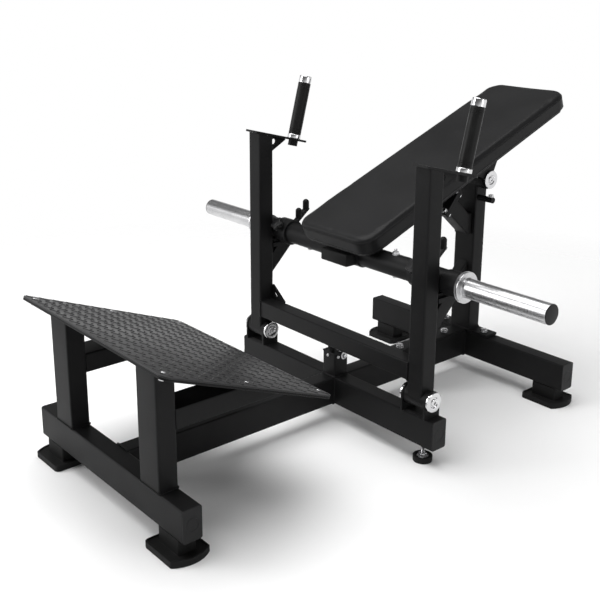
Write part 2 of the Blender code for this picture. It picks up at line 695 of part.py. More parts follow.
def weight_sleeve(name, sign, guide):
    """A bright sleeve for weight plates, closed at its flange and open at its outer end."""
    flange_radius, flange_thick = SLEEVE_FLANGE
    bore = SLEEVE_RADIUS - SLEEVE_WALL
    shoulder = STUB_END + flange_thick
    profile = [(0.0, STUB_END), (flange_radius, STUB_END), (flange_radius, shoulder - 0.002),
               (flange_radius - 0.002, shoulder), (SLEEVE_RADIUS, shoulder),
               (SLEEVE_RADIUS, SLEEVE_END - 0.0015), (SLEEVE_RADIUS - 0.0015, SLEEVE_END),
               (bore, SLEEVE_END), (bore, shoulder), (0.0, shoulder)]
    sleeve = turned(name, profile, 24)
    move_mesh(sleeve, Matrix.Rotation(sign * math.pi / 2, 4, "Y"))
    return dress(hang(sleeve, guide, (0, BAR_Y - SWING_AXIS.y, BAR_Z - SWING_Z)), "chrome")


def knob_frame():
    """Frame of a clamping knob, from the bar's axis: z runs out along its screw."""
    return Matrix.Rotation(math.pi / 2 - KNOB_ANGLE, 4, "X")


def belt_collar(name, guide):
    """A collar on the bar with a hook arm that runs back and carries two round pegs."""
    inner = BAR_RADIUS + COLLAR_CLEAR
    outer = inner + COLLAR_WALL
    collar = move_mesh(ring(name, outer, inner, COLLAR_LONG), ALONG_X)
    wide, thick = HOOK_BAR
    arm = block("hook", (wide, HOOK_REACH, thick), (0, HOOK_REACH / 2, 0))
    move_mesh(arm, Matrix.Rotation(HOOK_RISE, 4, "X"))
    cut(arm, move_mesh(rod("room", inner + 0.002, 0.1), ALONG_X))
    pegs = []
    for station in PEG_STATIONS:
        peg = turned("peg", [(0.0, 0.0), (PEG_RADIUS, 0.0), (PEG_RADIUS, PEG_HIGH),
                             (PEG_RADIUS * 0.72, PEG_HIGH + PEG_RADIUS * 0.7),
                             (0.0, PEG_HIGH + PEG_RADIUS)], 12)
        place = (0, station * math.cos(HOOK_RISE), station * math.sin(HOOK_RISE) - thick / 4)
        pegs.append(move_mesh(peg, Matrix.Translation(place)))
    boss = rod("boss", 0.011, 0.010, outer + 0.002)
    move_mesh(boss, knob_frame())
    combine(collar, [arm, *pegs, boss])
    cut(collar, move_mesh(rod("bore", KNOB_STEM + GAP, 0.04, outer), knob_frame()))
    return dress(smooth(hang(collar, guide)), "frame")


def clamp_knob(name, guide):
    """A five-lobed knob on the screw that clamps the collar; its origin is on the screw's axis."""
    boss_top = BAR_RADIUS + COLLAR_CLEAR + COLLAR_WALL + 0.007
    lobes = 5
    outline = []
    for index in range(lobes * 6):
        turn = 2 * math.pi * index / (lobes * 6)
        radius = KNOB_RADIUS * (0.86 + 0.14 * math.cos(lobes * turn))
        outline.append(Vector((radius * math.cos(turn), radius * math.sin(turn))))
    knob = move_mesh(prism(name, outline, KNOB_THICK), Matrix.Translation((0, 0, boss_top + GAP)))
    tip = BAR_RADIUS + GAP
    stem = rod("stem", KNOB_STEM, boss_top + 0.004 - tip, (boss_top + 0.004 + tip) / 2)
    combine(knob, [stem])
    move_mesh(knob, knob_frame())
    return dress(smooth(hang(knob, guide)), "plastic")


def stop_post():
    """The box post over the spine that carries the swing frame's stop."""
    high = STOP_POST_TOP - BASE_TOP - GAP
    post = box_tube("stop_post", SQUARE_TUBE, SQUARE_TUBE, high)
    move_mesh(post, Matrix.Translation((0, 0, high / 2)))
    lid = block("lid", (SQUARE_TUBE, SQUARE_TUBE, 0.004), (0, 0, high - 0.002))
    combine(post, [lid])
    post.location = (0.0, MIDDLE_Y, BASE_TOP + GAP)
    return dress(post, "frame")


def stop_bumper():
    """The rubber buffer ahead of the pivot, which stops the swing frame at upright."""
    low = STOP_POST_TOP + GAP
    high = CROSS_MEMBER_Z - SQUARE_TUBE / 2 - GAP - low
    radius = STOP_BUMPER_RADIUS
    bumper = turned("stop_bumper", [(0.0, 0.0), (radius, 0.0), (radius, high - 0.003),
                                    (radius - 0.002, high), (0.0, high)])
    bumper.location = (0.0, SWING_AXIS.y - radius - GAP, low)
    return dress(bumper, "rubber")


# ---------------------------------------------------------------- column
def column_tube():
    """The column with the crosswise pad pivot tube and the stop bar welded to its top."""
    low = BASE_TOP + GAP + COLUMN_PLATE + GAP
    bore = SHAFT_RADIUS + 2 * GAP + BUSH_WALL
    high = PAD_PIVOT_Z - low
    post = box_tube("column_tube", COLUMN_WIDE, COLUMN_DEEP, high)
    move_mesh(post, Matrix.Translation((0, 0, low + high / 2 - PAD_PIVOT_Z)))
    cut(post, move_mesh(rod("saddle", PAD_PIVOT_RADIUS - 0.003, 0.2), ALONG_X))
    pivot = move_mesh(ring("pivot", PAD_PIVOT_RADIUS, bore, 2 * PAD_PIVOT_HALF), ALONG_X)
    stop = move_mesh(rod("stop", STOP_BAR_RADIUS, 2 * STOP_BAR_HALF), ALONG_X)
    move_mesh(stop, Matrix.Translation((0, -0.012, STOP_BAR_Z - PAD_PIVOT_Z)))
    combine(post, [pivot, stop])
    post.location = PAD_AXIS
    return dress(smooth(post), "frame")


def column_base():
    """The bolted plate under the column, with the sloping brace welded to it."""
    half = COLUMN_PLATE_HALF
    back = REAR_Y + TUBE_WIDE / 2
    front = REAR_Y - TUBE_WIDE / 2
    nose = MIDDLE_Y + COLUMN_PLATE_FRONT
    arm = TUBE_WIDE / 2
    outline = [(-half, front), (-arm, front), (-arm, nose), (arm, nose), (arm, front), (half, front),
               (half, back), (-half, back)]
    holes = [circle(BOLT_RADIUS + GAP, place, 16) for place in column_bolt_places()]
    plate = prism("column_base", outline, COLUMN_PLATE, holes)
    move_mesh(plate, Matrix.Translation((0, 0, BASE_TOP + GAP)))
    plate_top = BASE_TOP + GAP + COLUMN_PLATE
    column_front = REAR_Y - COLUMN_DEEP / 2 - GAP
    top_end = Vector((0, column_front, COLUMN_BRACE_TOP))
    middle = top_end + Vector((0, 1, -1)).normalized() * COLUMN_BRACE_DEEP / 2
    brace = box_tube("brace", COLUMN_BRACE_WIDE, COLUMN_BRACE_DEEP, 0.60)
    move_mesh(brace, Matrix.Translation(middle) @ Matrix.Rotation(-math.pi / 4, 4, "X"))
    cut(brace, block("behind", (0.1, 0.4, 0.8), (0, column_front + 0.2, COLUMN_BRACE_TOP)),
        block("below", (0.1, 0.9, 0.4), (0, column_front, plate_top - WELD - 0.2)))
    combine(plate, [brace])
    return dress(plate, "frame")


def column_bolt_places():
    """Where the four column bolts stand, as (x, y)."""
    along = [(0.0, MIDDLE_Y + reach) for reach in SPINE_BOLTS_Y]
    return along + [(sign * SIDE_BOLT_X, REAR_Y) for _, sign in SIDES]


def column_bolt(name, place):
    """A hexagon bolt with its washer, down through the base plate into the tube under it."""
    top = COLUMN_PLATE + GAP
    bolt = turned(name, [(0.0, -BOLT_DEEP), (BOLT_RADIUS, -BOLT_DEEP), (BOLT_RADIUS, top),
                         (0.012, top), (0.012, top + 0.002), (0.0, top + 0.002)], 16)
    head = move_mesh(prism("head", circle(0.011, count=6), 0.008), Matrix.Translation((0, 0, top + 0.001)))
    combine(bolt, [head])
    bolt.location = (*place, BASE_TOP + GAP)
    return dress(smooth(bolt, math.radians(30)), "chrome")


def bore_for_bolts(tube, places):
    """Drill a tube's top wall where bolts pass through it."""
    for place in places:
        hole = rod("drill", BOLT_RADIUS + GAP, 0.02, BASE_TOP)
        hole.location = (*place, 0.0)
        cut(tube, hole)
    return tube


# ---------------------------------------------------------------- pad
def pad_frame():
    """The pad's own frame, from its pivot: y runs back up the slope, z stands off its top face."""
    front = Vector((0.0, MIDDLE_Y + PAD_FRONT_Y, PAD_FRONT_Z)) - PAD_AXIS
    return Matrix.Translation(front) @ Matrix.Rotation(PAD_TILT, 4, "X")


def pad_cushion(guide):
    """The stuffed part of the pad, as a plain rounded slab."""
    outline = rectangle(PAD_WIDE, PAD_LONG, PAD_CORNER, (0.0, PAD_LONG / 2))
    cushion = prism("pad_cushion", outline, PAD_SOFT)
    move_mesh(cushion, pad_frame() @ Matrix.Translation((0, 0, -PAD_SOFT)))
    return dress(hang(cushion, guide), "upholstery")


def pad_board(guide):
    """The plywood under the stuffing."""
    inset = 0.004
    outline = rectangle(PAD_WIDE - 2 * inset, PAD_LONG - 2 * inset, PAD_CORNER - inset, (0.0, PAD_LONG / 2))
    board = prism("pad_board", outline, PAD_BOARD)
    move_mesh(board, pad_frame() @ Matrix.Translation((0, 0, -PAD_SOFT - GAP - PAD_BOARD)))
    return dress(hang(board, guide), "plywood")


def stop_frame():
    """Frame of the pad's bolted flanges, from the pad pivot: z runs down and back towards the column."""
    place = Vector((0.0, REAR_Y - PAD_STOP_AHEAD, PAD_STOP_Z)) - PAD_AXIS
    return Matrix.Translation(place) @ Matrix.Rotation(-math.pi / 2 - PAD_STOP_SLOPE, 4, "X")


def flange(name, low):
    wide, high, thick = FLANGE
    plate = prism(name, rectangle(wide, high, 0.004), thick, [circle(FLANGE_OPENING, count=16)])
    return move_mesh(plate, stop_frame() @ Matrix.Translation((0, 0, low)))


def pad_bracket(guide):
    """The steel under the pad: a rail, the clevis on the pivot, and the arm with the upper flange."""
    rail_wide, rail_high = PAD_RAIL
    rail_start, rail_end = PAD_RAIL_SPAN
    rail_top = -(PAD_SOFT + GAP + PAD_BOARD + GAP)
    rail_low = rail_top - rail_high
    deck = pad_frame()
    rail = box_tube("pad_bracket", rail_wide, rail_high, rail_end - rail_start)
    rail_middle = (0, (rail_start + rail_end) / 2, rail_top - rail_high / 2)
    move_mesh(rail, deck @ Matrix.Translation(rail_middle) @ ALONG_Y)
    pivot = deck.inverted() @ Vector((0, 0, 0))
    plate_half = CLEVIS_TOP_LONG / 2 + 0.012
    inner_face = PAD_PIVOT_HALF + GAP
    outer_face = inner_face + CLEVIS_PLATE
    mount = block("mount", (2 * outer_face, 2 * plate_half, 0.008), (0, pivot.y, rail_low + WELD - 0.004))
    move_mesh(mount, deck)
    parts = [mount]
    for _, sign in SIDES:
        top = rail_low - 0.006
        half = CLEVIS_TOP_LONG / 2
        lean = math.atan2(half - CLEVIS_RADIUS, top - pivot.z)
        outline = [Vector((pivot.y + half, top)), Vector((pivot.y - half, top)),
                   *arc(CLEVIS_RADIUS, (pivot.y, pivot.z), math.pi - lean, 2 * math.pi + lean, 14)]
        cheek = side_plate("cheek", outline, CLEVIS_PLATE,
                           [circle(SHAFT_RADIUS + GAP, (pivot.y, pivot.z))])
        move_mesh(cheek, deck @ Matrix.Translation((sign * (inner_face + CLEVIS_PLATE / 2), 0, 0)))
        parts.append(cheek)
    arm = box_tube("arm", 0.040, 0.040, 0.30, 0.0025, 0.003)
    move_mesh(arm, stop_frame() @ Matrix.Translation((0, 0, -FLANGE[2] - GAP / 2 + WELD - 0.15)))
    above = block("above", (0.2, 1.4, 0.6), (0, pivot.y, rail_low + WELD + 0.3))
    cut(arm, move_mesh(above, deck))
    combine(rail, [*parts, arm, flange("upper", -FLANGE[2] - GAP / 2)])
    return dress(smooth(hang(rail, guide)), "frame")


def pad_stop_strut(guide):
    """The lower flange and the box strut that comes to rest against the column."""
    strut = box_tube("pad_stop_strut", SQUARE_TUBE, SQUARE_TUBE, 0.30)
    move_mesh(strut, stop_frame() @ Matrix.Translation((0, 0, GAP / 2 + FLANGE[2] - WELD + 0.15)))
    rear = -COLUMN_DEEP / 2 - BUMPER_THICK - 2 * GAP
    end_plate = 0.004
    cut(strut, block("behind", (0.2, 0.5, 0.8), (0, rear - end_plate + WELD + 0.25, -0.1)))
    wide, low, high = strut_end(rear)
    end = block("end", (wide, end_plate, high - low), (0, rear - end_plate / 2, (low + high) / 2))
    combine(strut, [end, flange("lower", GAP / 2)])
    return dress(hang(strut, guide), "frame")


def strut_end(rear):
    """Width, lowest and highest point of the strut's upright end, from the pad pivot."""
    centre = stop_frame() @ Vector((0, 0, 0))
    middle = centre.z - (rear - centre.y) * math.tan(PAD_STOP_SLOPE)
    half = SQUARE_TUBE / 2 / math.cos(PAD_STOP_SLOPE)
    return SQUARE_TUBE, middle - half, middle + half


def pad_stop_bumper(guide):
    """The rubber plate between the strut and the column."""
    front = -COLUMN_DEEP / 2 - BUMPER_THICK - GAP
    wide, low, high = strut_end(front)
    bumper = prism("pad_stop_bumper", rectangle(wide, high - low, 0.004, (0, (low + high) / 2)), BUMPER_THICK)
    move_mesh(bumper, Matrix.Translation((0, front + BUMPER_THICK, 0)) @ Matrix.Rotation(math.pi / 2, 4, "X"))
    return dress(hang(bumper, guide), "rubber")


# ---------------------------------------------------------------- assembly
def build_base():
    cross_tube("front_cross_tube", FRONT_TUBE_LONG, FRONT_Y)
    add_levelling_bosses(cross_tube("middle_cross_tube", MIDDLE_TUBE_LONG, MIDDLE_Y))
    rear = cross_tube("rear_cross_tube", REAR_TUBE_LONG, REAR_Y)
    half = TUBE_WIDE / 2
    spine_tube("front_spine_tube", FRONT_Y + half, MIDDLE_Y - half)
    spine = spine_tube("rear_spine_tube", MIDDLE_Y + half, REAR_Y - half)
    bolts = column_bolt_places()
    bore_for_bolts(spine, bolts[:2])
    bore_for_bolts(rear, bolts[2:])
    for side, sign in SIDES:
        rubber_foot("front_foot_" + side, sign, FRONT_TUBE_LONG, FRONT_Y)
        rubber_foot("rear_foot_" + side, sign, REAR_TUBE_LONG, REAR_Y)
        levelling_foot("levelling_foot_" + side, sign)
        foot_support("foot_support_" + side, sign)
    dress(deck_sheet("foot_plate", DECK_PLATE, -TREAD - GAP), "frame")
    dress(deck_sheet("foot_tread", TREAD, 0.0), "tread")
    stop_post()
    stop_bumper()


def build_swing_frame():
    axis = make_empty("swing_axis", SWING_AXIS)
    swing_cross_tube(axis)
    crossbar(axis)
    for side, sign in SIDES:
        place = (sign * UPRIGHT_X, SWING_AXIS.y, SWING_AXIS.z)
        bearing_stand("bearing_stand_" + side, sign)
        shaft = capped_shaft("swing_shaft_" + side, PIVOT_TUBE_LONG / 2 + GAP + STAND_PLATE,
                             SHAFT_CAP_RADIUS, SHAFT_CAP_THICK)
        shaft.location = place
        dress(shaft, "chrome")
        dress(hang(bush("swing_bush_" + side, PIVOT_TUBE_LONG), axis, (sign * UPRIGHT_X, 0, 0)), "bronze")
        swing_upright("upright_" + side, sign, axis)
        handle_bracket("handle_bracket_" + side, sign, axis)
        handle_rod("handle_rod_" + side, sign, axis)
        handle_grip("handle_grip_" + side, sign, axis)
        bar_arm("bar_arm_" + side, sign, axis)
        weight_sleeve("weight_sleeve_" + side, sign, axis)
        collar_axis = make_empty("collar_axis_" + side, (sign * COLLAR_X, BAR_Y, BAR_Z))
        belt_collar("belt_collar_" + side, collar_axis)
        clamp_knob("clamp_knob_" + side, collar_axis)


def build_column_and_pad():
    column_tube()
    column_base()
    for name, place in zip(("front", "middle", "left", "right"), column_bolt_places()):
        column_bolt("column_bolt_" + name, place)
    axis = make_empty("pad_axis", PAD_AXIS)
    half_grip = PAD_PIVOT_HALF + GAP + CLEVIS_PLATE
    shaft = capped_shaft("pad_shaft", half_grip, SHAFT_CAP_RADIUS + 0.001, SHAFT_CAP_THICK)
    dress(hang(shaft, axis), "chrome")
    pad_bush = bush("pad_bush", 2 * PAD_PIVOT_HALF)
    pad_bush.location = PAD_AXIS
    dress(pad_bush, "bronze")
    pad_cushion(axis)
    pad_board(axis)
    pad_bracket(axis)
    pad_stop_strut(axis)
    pad_stop_bumper(axis)


for item in list(bpy.data.objects):
    bpy.data.objects.remove(item)
build_base()
build_swing_frame()
build_column_and_pad()
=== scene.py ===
import json
import math

import bmesh
import bpy
from mathutils import Matrix, Vector
from mathutils.bvhtree import BVHTree


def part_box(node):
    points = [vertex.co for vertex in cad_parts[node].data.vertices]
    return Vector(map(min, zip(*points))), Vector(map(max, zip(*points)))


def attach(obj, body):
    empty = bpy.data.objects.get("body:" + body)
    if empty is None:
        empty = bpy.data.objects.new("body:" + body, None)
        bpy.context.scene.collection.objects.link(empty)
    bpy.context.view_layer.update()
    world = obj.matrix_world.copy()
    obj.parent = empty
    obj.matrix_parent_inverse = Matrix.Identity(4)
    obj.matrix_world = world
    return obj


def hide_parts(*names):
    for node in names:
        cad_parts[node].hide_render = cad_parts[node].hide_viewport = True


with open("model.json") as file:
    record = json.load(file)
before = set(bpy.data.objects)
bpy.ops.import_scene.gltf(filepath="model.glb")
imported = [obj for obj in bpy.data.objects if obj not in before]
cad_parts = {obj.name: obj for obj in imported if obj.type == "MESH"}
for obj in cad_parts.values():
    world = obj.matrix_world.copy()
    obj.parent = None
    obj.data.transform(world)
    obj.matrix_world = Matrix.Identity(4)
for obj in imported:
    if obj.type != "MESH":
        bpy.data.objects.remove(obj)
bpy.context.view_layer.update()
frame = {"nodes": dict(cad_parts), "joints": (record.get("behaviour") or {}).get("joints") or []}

NODES = frame["nodes"]
JOINTS = {joint["name"]: joint for joint in frame["joints"]}
SIDES = (("left", 1.0), ("right", -1.0))
ALONG_X = Matrix.Rotation(math.pi / 2, 4, "Y")


# ------------------------------------------------------------------ finishes
class Finish:
    """A node material with a Principled shader and its patterns on Object coordinates."""

    def __init__(self, name, colour, roughness, metallic=0.0, specular=0.5):
        self.material = bpy.data.materials.new(name)
        self.material.use_nodes = True
        self.nodes = self.material.node_tree.nodes
        self.links = self.material.node_tree.links
        self.shader = self.nodes["Principled BSDF"]
        self.shader.inputs["Base Color"].default_value = (*colour, 1.0)
        self.shader.inputs["Roughness"].default_value = roughness
        self.shader.inputs["Metallic"].default_value = metallic
        self.shader.inputs["Specular IOR Level"].default_value = specular
        self.place = self.nodes.new("ShaderNodeTexCoord").outputs["Object"]

    def stretched(self, scale):
        mapping = self.nodes.new("ShaderNodeMapping")
        mapping.inputs["Scale"].default_value = scale
        self.links.new(self.place, mapping.inputs["Vector"])
        return mapping.outputs["Vector"]

    def noise(self, scale, detail=3.0, rough=0.55, place=None):
        node = self.nodes.new("ShaderNodeTexNoise")
        node.inputs["Scale"].default_value = scale
        node.inputs["Detail"].default_value = detail
        node.inputs["Roughness"].default_value = rough
        self.links.new(place or self.place, node.inputs["Vector"])
        return node.outputs["Fac"]

    def cells(self, scale, feature="F1", place=None):
        node = self.nodes.new("ShaderNodeTexVoronoi")
        node.feature = feature
        node.inputs["Scale"].default_value = scale
        self.links.new(place or self.place, node.inputs["Vector"])
        return node.outputs["Distance"]

    def spread(self, value, low, high, out_low, out_high):
        node = self.nodes.new("ShaderNodeMapRange")
        node.inputs["From Min"].default_value = low
        node.inputs["From Max"].default_value = high
        node.inputs["To Min"].default_value = out_low
        node.inputs["To Max"].default_value = out_high
        self.links.new(value, node.inputs["Value"])
        return node.outputs["Result"]

    def tint(self, value, low_colour, high_colour):
        node = self.nodes.new("ShaderNodeMix")
        node.data_type = "RGBA"
        node.inputs["A"].default_value = (*low_colour, 1.0)
        node.inputs["B"].default_value = (*high_colour, 1.0)
        self.links.new(value, node.inputs["Factor"])
        self.links.new(node.outputs["Result"], self.shader.inputs["Base Color"])

    def roughen(self, value):
        self.links.new(value, self.shader.inputs["Roughness"])

    def relief(self, *layers):
        """Bump from (height, strength, distance) layers, finest last."""
        normal = None
        for height, strength, distance in layers:
            bump = self.nodes.new("ShaderNodeBump")
            bump.inputs["Strength"].default_value = strength
            bump.inputs["Distance"].default_value = distance
            self.links.new(height, bump.inputs["Height"])
            if normal:
                self.links.new(normal, bump.inputs["Normal"])
            normal = bump.outputs["Normal"]
        self.links.new(normal, self.shader.inputs["Normal"])


def powder_coat():
    finish = Finish("powder_coat", (0.008, 0.008, 0.0083), 0.48, specular=0.12)
    cloud = finish.noise(9.0, 4.0)
    grain = finish.noise(1500.0, 2.0)
    peel = finish.cells(520.0, "SMOOTH_F1")
    finish.tint(finish.spread(cloud, 0.35, 0.7, 0.0, 1.0), (0.0062, 0.0062, 0.0065), (0.0095, 0.0095, 0.0098))
    finish.roughen(finish.spread(cloud, 0.3, 0.7, 0.42, 0.52))
    finish.relief((peel, 0.18, 0.0003), (grain, 0.22, 0.00012))
    return finish.material


def chrome():
    finish = Finish("chrome_plate", (0.70, 0.70, 0.71), 0.1, metallic=1.0)
    smear = finish.noise(24.0, 4.0)
    fine = finish.noise(700.0, 2.0)
    finish.tint(finish.spread(smear, 0.3, 0.75, 0.0, 1.0), (0.64, 0.64, 0.655), (0.76, 0.76, 0.76))
    finish.roughen(finish.spread(smear, 0.3, 0.75, 0.07, 0.17))
    finish.relief((fine, 0.02, 0.00005))
    return finish.material


def sleeve_steel():
    """Turned and plated steel, with faint rings round the bar."""
    finish = Finish("sleeve_steel", (0.55, 0.55, 0.56), 0.27, metallic=1.0)
    rings = finish.noise(1.0, 3.0, 0.6, finish.stretched((900.0, 6.0, 6.0)))
    smear = finish.noise(14.0, 3.0)
    finish.tint(finish.spread(smear, 0.3, 0.75, 0.0, 1.0), (0.49, 0.49, 0.50), (0.61, 0.61, 0.615))
    finish.roughen(finish.spread(rings, 0.25, 0.75, 0.22, 0.32))
    finish.relief((rings, 0.05, 0.00006))
    return finish.material


def zinc():
    finish = Finish("bright_zinc", (0.62, 0.62, 0.63), 0.26, metallic=1.0)
    smear = finish.noise(60.0, 4.0)
    finish.tint(finish.spread(smear, 0.3, 0.75, 0.0, 1.0), (0.52, 0.52, 0.54), (0.70, 0.70, 0.70))
    finish.roughen(finish.spread(smear, 0.3, 0.75, 0.18, 0.34))
    finish.relief((finish.noise(900.0, 2.0), 0.06, 0.00008))
    return finish.material


def rubber(name="moulded_rubber", shade=0.006, rough=0.62):
    finish = Finish(name, (shade, shade, shade), rough, specular=0.16)
    dust = finish.noise(18.0, 5.0)
    grain = finish.noise(1100.0, 3.0)
    finish.tint(finish.spread(dust, 0.35, 0.75, 0.0, 1.0), (shade * 0.75,) * 3, (shade * 1.6,) * 3)
    finish.roughen(finish.spread(dust, 0.3, 0.7, rough - 0.07, rough + 0.08))
    finish.relief((grain, 0.25, 0.00015))
    return finish.material


def plastic():
    finish = Finish("moulded_plastic", (0.009, 0.009, 0.0095), 0.42, specular=0.18)
    wave = finish.noise(40.0, 3.0)
    spark = finish.cells(900.0)
    finish.tint(finish.spread(wave, 0.3, 0.7, 0.0, 1.0), (0.0075, 0.0075, 0.0080), (0.0120, 0.0120, 0.0125))
    finish.roughen(finish.spread(wave, 0.3, 0.7, 0.36, 0.48))
    finish.relief((spark, 0.15, 0.00012))
    return finish.material


def tread_rubber():
    finish = Finish("tread_rubber", (0.020, 0.020, 0.021), 0.40, specular=0.22)
    dust = finish.noise(7.0, 5.0)
    grain = finish.noise(850.0, 3.0)
    finish.tint(finish.spread(dust, 0.3, 0.75, 0.0, 1.0), (0.016, 0.016, 0.0165), (0.027, 0.027, 0.028))
    finish.roughen(finish.spread(dust, 0.3, 0.7, 0.34, 0.46))
    finish.relief((grain, 0.22, 0.00014))
    return finish.material


def upholstery():
    """Black coated cloth with a fine pebbled grain."""
    finish = Finish("upholstery_cloth", (0.009, 0.009, 0.0095), 0.46, specular=0.13)
    broad = finish.noise(6.0, 4.0)
    pebble = finish.cells(650.0, "SMOOTH_F1")
    crease = finish.cells(330.0, "DISTANCE_TO_EDGE")
    finish.tint(finish.spread(broad, 0.3, 0.75, 0.0, 1.0), (0.0064, 0.0064, 0.0067), (0.0094, 0.0094, 0.0098))
    finish.roughen(finish.spread(broad, 0.3, 0.7, 0.38, 0.5))
    finish.relief((crease, 0.10, 0.00025), (pebble, 0.30, 0.00022))
    finish.shader.inputs["Sheen Weight"].default_value = 0.03
    return finish.material


def bronze():
    finish = Finish("bearing_bronze", (0.45, 0.30, 0.14), 0.35, metallic=1.0)
    smear = finish.noise(50.0, 4.0)
    finish.tint(finish.spread(smear, 0.3, 0.75, 0.0, 1.0), (0.34, 0.22, 0.10), (0.52, 0.36, 0.18))
    finish.roughen(finish.spread(smear, 0.3, 0.75, 0.28, 0.45))
    return finish.material


COAT = powder_coat()
CHROME = chrome()
STEEL = sleeve_steel()
ZINC = zinc()
RUBBER = rubber()
GRIP = rubber("grip_rubber", 0.005, 0.42)
PLASTIC = plastic()
TREAD = tread_rubber()
CLOTH = upholstery()
BRONZE = bronze()


# ------------------------------------------------------------------ making pieces
def add_piece(name, shape, body, finish, stands_for=(), sharp=35.0):
    """Turn a bmesh into a finished piece that rides on a body."""
    bmesh.ops.recalc_face_normals(shape, faces=shape.faces[:])
    mesh = bpy.data.meshes.new(name)
    shape.to_mesh(mesh)
    shape.free()
    piece = bpy.data.objects.new(name, mesh)
    bpy.context.collection.objects.link(piece)
    mesh.materials.append(finish)
    mesh.shade_smooth()
    mesh.set_sharp_from_angle(angle=math.radians(sharp))
    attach(piece, body)
    if stands_for:
        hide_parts(*stands_for)
    return piece


def lathe(profile, matrix=Matrix.Identity(4), count=48, into=None):
    """Turn a profile of (radius, height) round Z and place it. It closes on itself, or ends on the axis."""
    shape = bmesh.new()
    corners = [shape.verts.new((radius, 0.0, height)) for radius, height in profile]
    edges = [shape.edges.new(pair) for pair in zip(corners, corners[1:])]
    if min(profile[0][0], profile[-1][0]) > 0:
        edges.append(shape.edges.new((corners[-1], corners[0])))
    bmesh.ops.spin(shape, geom=corners + edges, axis=(0, 0, 1), cent=(0, 0, 0),
                   steps=count, angle=2 * math.pi, use_merge=True)
    bmesh.ops.remove_doubles(shape, verts=shape.verts[:], dist=1e-6)
    bmesh.ops.transform(shape, matrix=matrix, verts=shape.verts[:])
    return join(into, shape)


def join(target, shape):
    """Add one bmesh to another, which may be None."""
    bmesh.ops.recalc_face_normals(shape, faces=shape.faces[:])
    if target is None:
        return shape
    mesh = bpy.data.meshes.new("join")
    shape.to_mesh(mesh)
    shape.free()
    target.from_mesh(mesh)
    bpy.data.meshes.remove(mesh)
    return target


def soft_edge(radius_a, height_a, radius_b, height_b, steps=3):
    """A quarter-round between two profile corners: from straight up at a to flat at b."""
    points = []
    for step in range(steps + 1):
        turn = math.pi / 2 * step / steps
        points.append((radius_b + (radius_a - radius_b) * math.cos(turn),
                       height_a + (height_b - height_a) * math.sin(turn)))
    return points


def slab(outline, thick, matrix=Matrix.Identity(4), bevel=0.0006, into=None, holes=(), steps=2):
    """Extrude an outline in XY up by thick, with its rim rounded a little, and place it."""
    shape = bmesh.new()
    edges = []
    for loop in (outline, *holes):
        corners = [shape.verts.new((point[0], point[1], 0.0)) for point in loop]
        edges += [shape.edges.new((corners[index - 1], corners[index])) for index in range(len(corners))]
    bmesh.ops.triangle_fill(shape, edges=edges, use_beauty=True, normal=(0, 0, 1))
    if not holes:
        bmesh.ops.dissolve_limit(shape, angle_limit=0.01, verts=shape.verts[:], edges=shape.edges[:])
    raised = bmesh.ops.extrude_face_region(shape, geom=shape.faces[:], use_keep_orig=True)["geom"]
    bmesh.ops.translate(shape, verts=[item for item in raised if isinstance(item, bmesh.types.BMVert)],
                        vec=(0, 0, thick))
    bmesh.ops.recalc_face_normals(shape, faces=shape.faces[:])
    if bevel:
        rims = [edge for edge in shape.edges if edge.is_manifold and edge.calc_face_angle() > math.radians(70)
                and abs(edge.verts[0].co.z - edge.verts[1].co.z) < 1e-7]
        bmesh.ops.bevel(shape, geom=rims, offset=bevel, segments=steps, profile=0.5, affect="EDGES",
                        material=-1, clamp_overlap=True)
    bmesh.ops.transform(shape, matrix=matrix, verts=shape.verts[:])
    return join(into, shape)


def arc(radius, centre, start, end, count):
    turns = [start + (end - start) * index / count for index in range(count + 1)]
    return [(centre[0] + radius * math.cos(turn), centre[1] + radius * math.sin(turn)) for turn in turns]


def rounded_rectangle(wide, high, radius, steps=6, centre=(0.0, 0.0)):
    outline = []
    for index, (right, top) in enumerate(((1, -1), (1, 1), (-1, 1), (-1, -1))):
        corner = (centre[0] + right * (wide / 2 - radius), centre[1] + top * (high / 2 - radius))
        start = math.pi / 2 * (index - 1)
        outline += arc(radius, corner, start, start + math.pi / 2, steps)
    return outline


def ring(shape, radius, height, count):
    """A ring of corners round Z."""
    turns = [2 * math.pi * step / count for step in range(count)]
    return [shape.verts.new((radius * math.cos(turn), radius * math.sin(turn), height)) for turn in turns]


def skin(shape, first, second):
    """Faces between two rings that have the same number of corners."""
    count = len(first)
    for step in range(count):
        after = (step + 1) % count
        shape.faces.new((first[step], first[after], second[after], second[step]))


def sweep(path, radius, count=8, into=None):
    """A round bead along a closed path of points. Its radius may be a function of the point's number."""
    shape = bmesh.new()
    total = len(path)
    rings = []
    for index, point in enumerate(path):
        along = (Vector(path[(index + 1) % total]) - Vector(path[index - 1])).normalized()
        side = along.cross(Vector((0, 0, 1)))
        if side.length < 1e-4:
            side = along.cross(Vector((0, 1, 0)))
        side.normalize()
        rise = side.cross(along)
        size = radius(index) if callable(radius) else radius
        rings.append([shape.verts.new(Vector(point) + size * (side * math.cos(turn) + rise * math.sin(turn)))
                      for turn in (2 * math.pi * step / count for step in range(count))])
    for first, second in zip(rings, rings[1:] + [rings[0]]):
        skin(shape, first, second)
    return join(into, shape)


def facing(place, direction):
    """A matrix whose Z runs along a direction from a place."""
    return Matrix.Translation(place) @ Vector(direction).to_track_quat("Z", "Y").to_matrix().to_4x4()


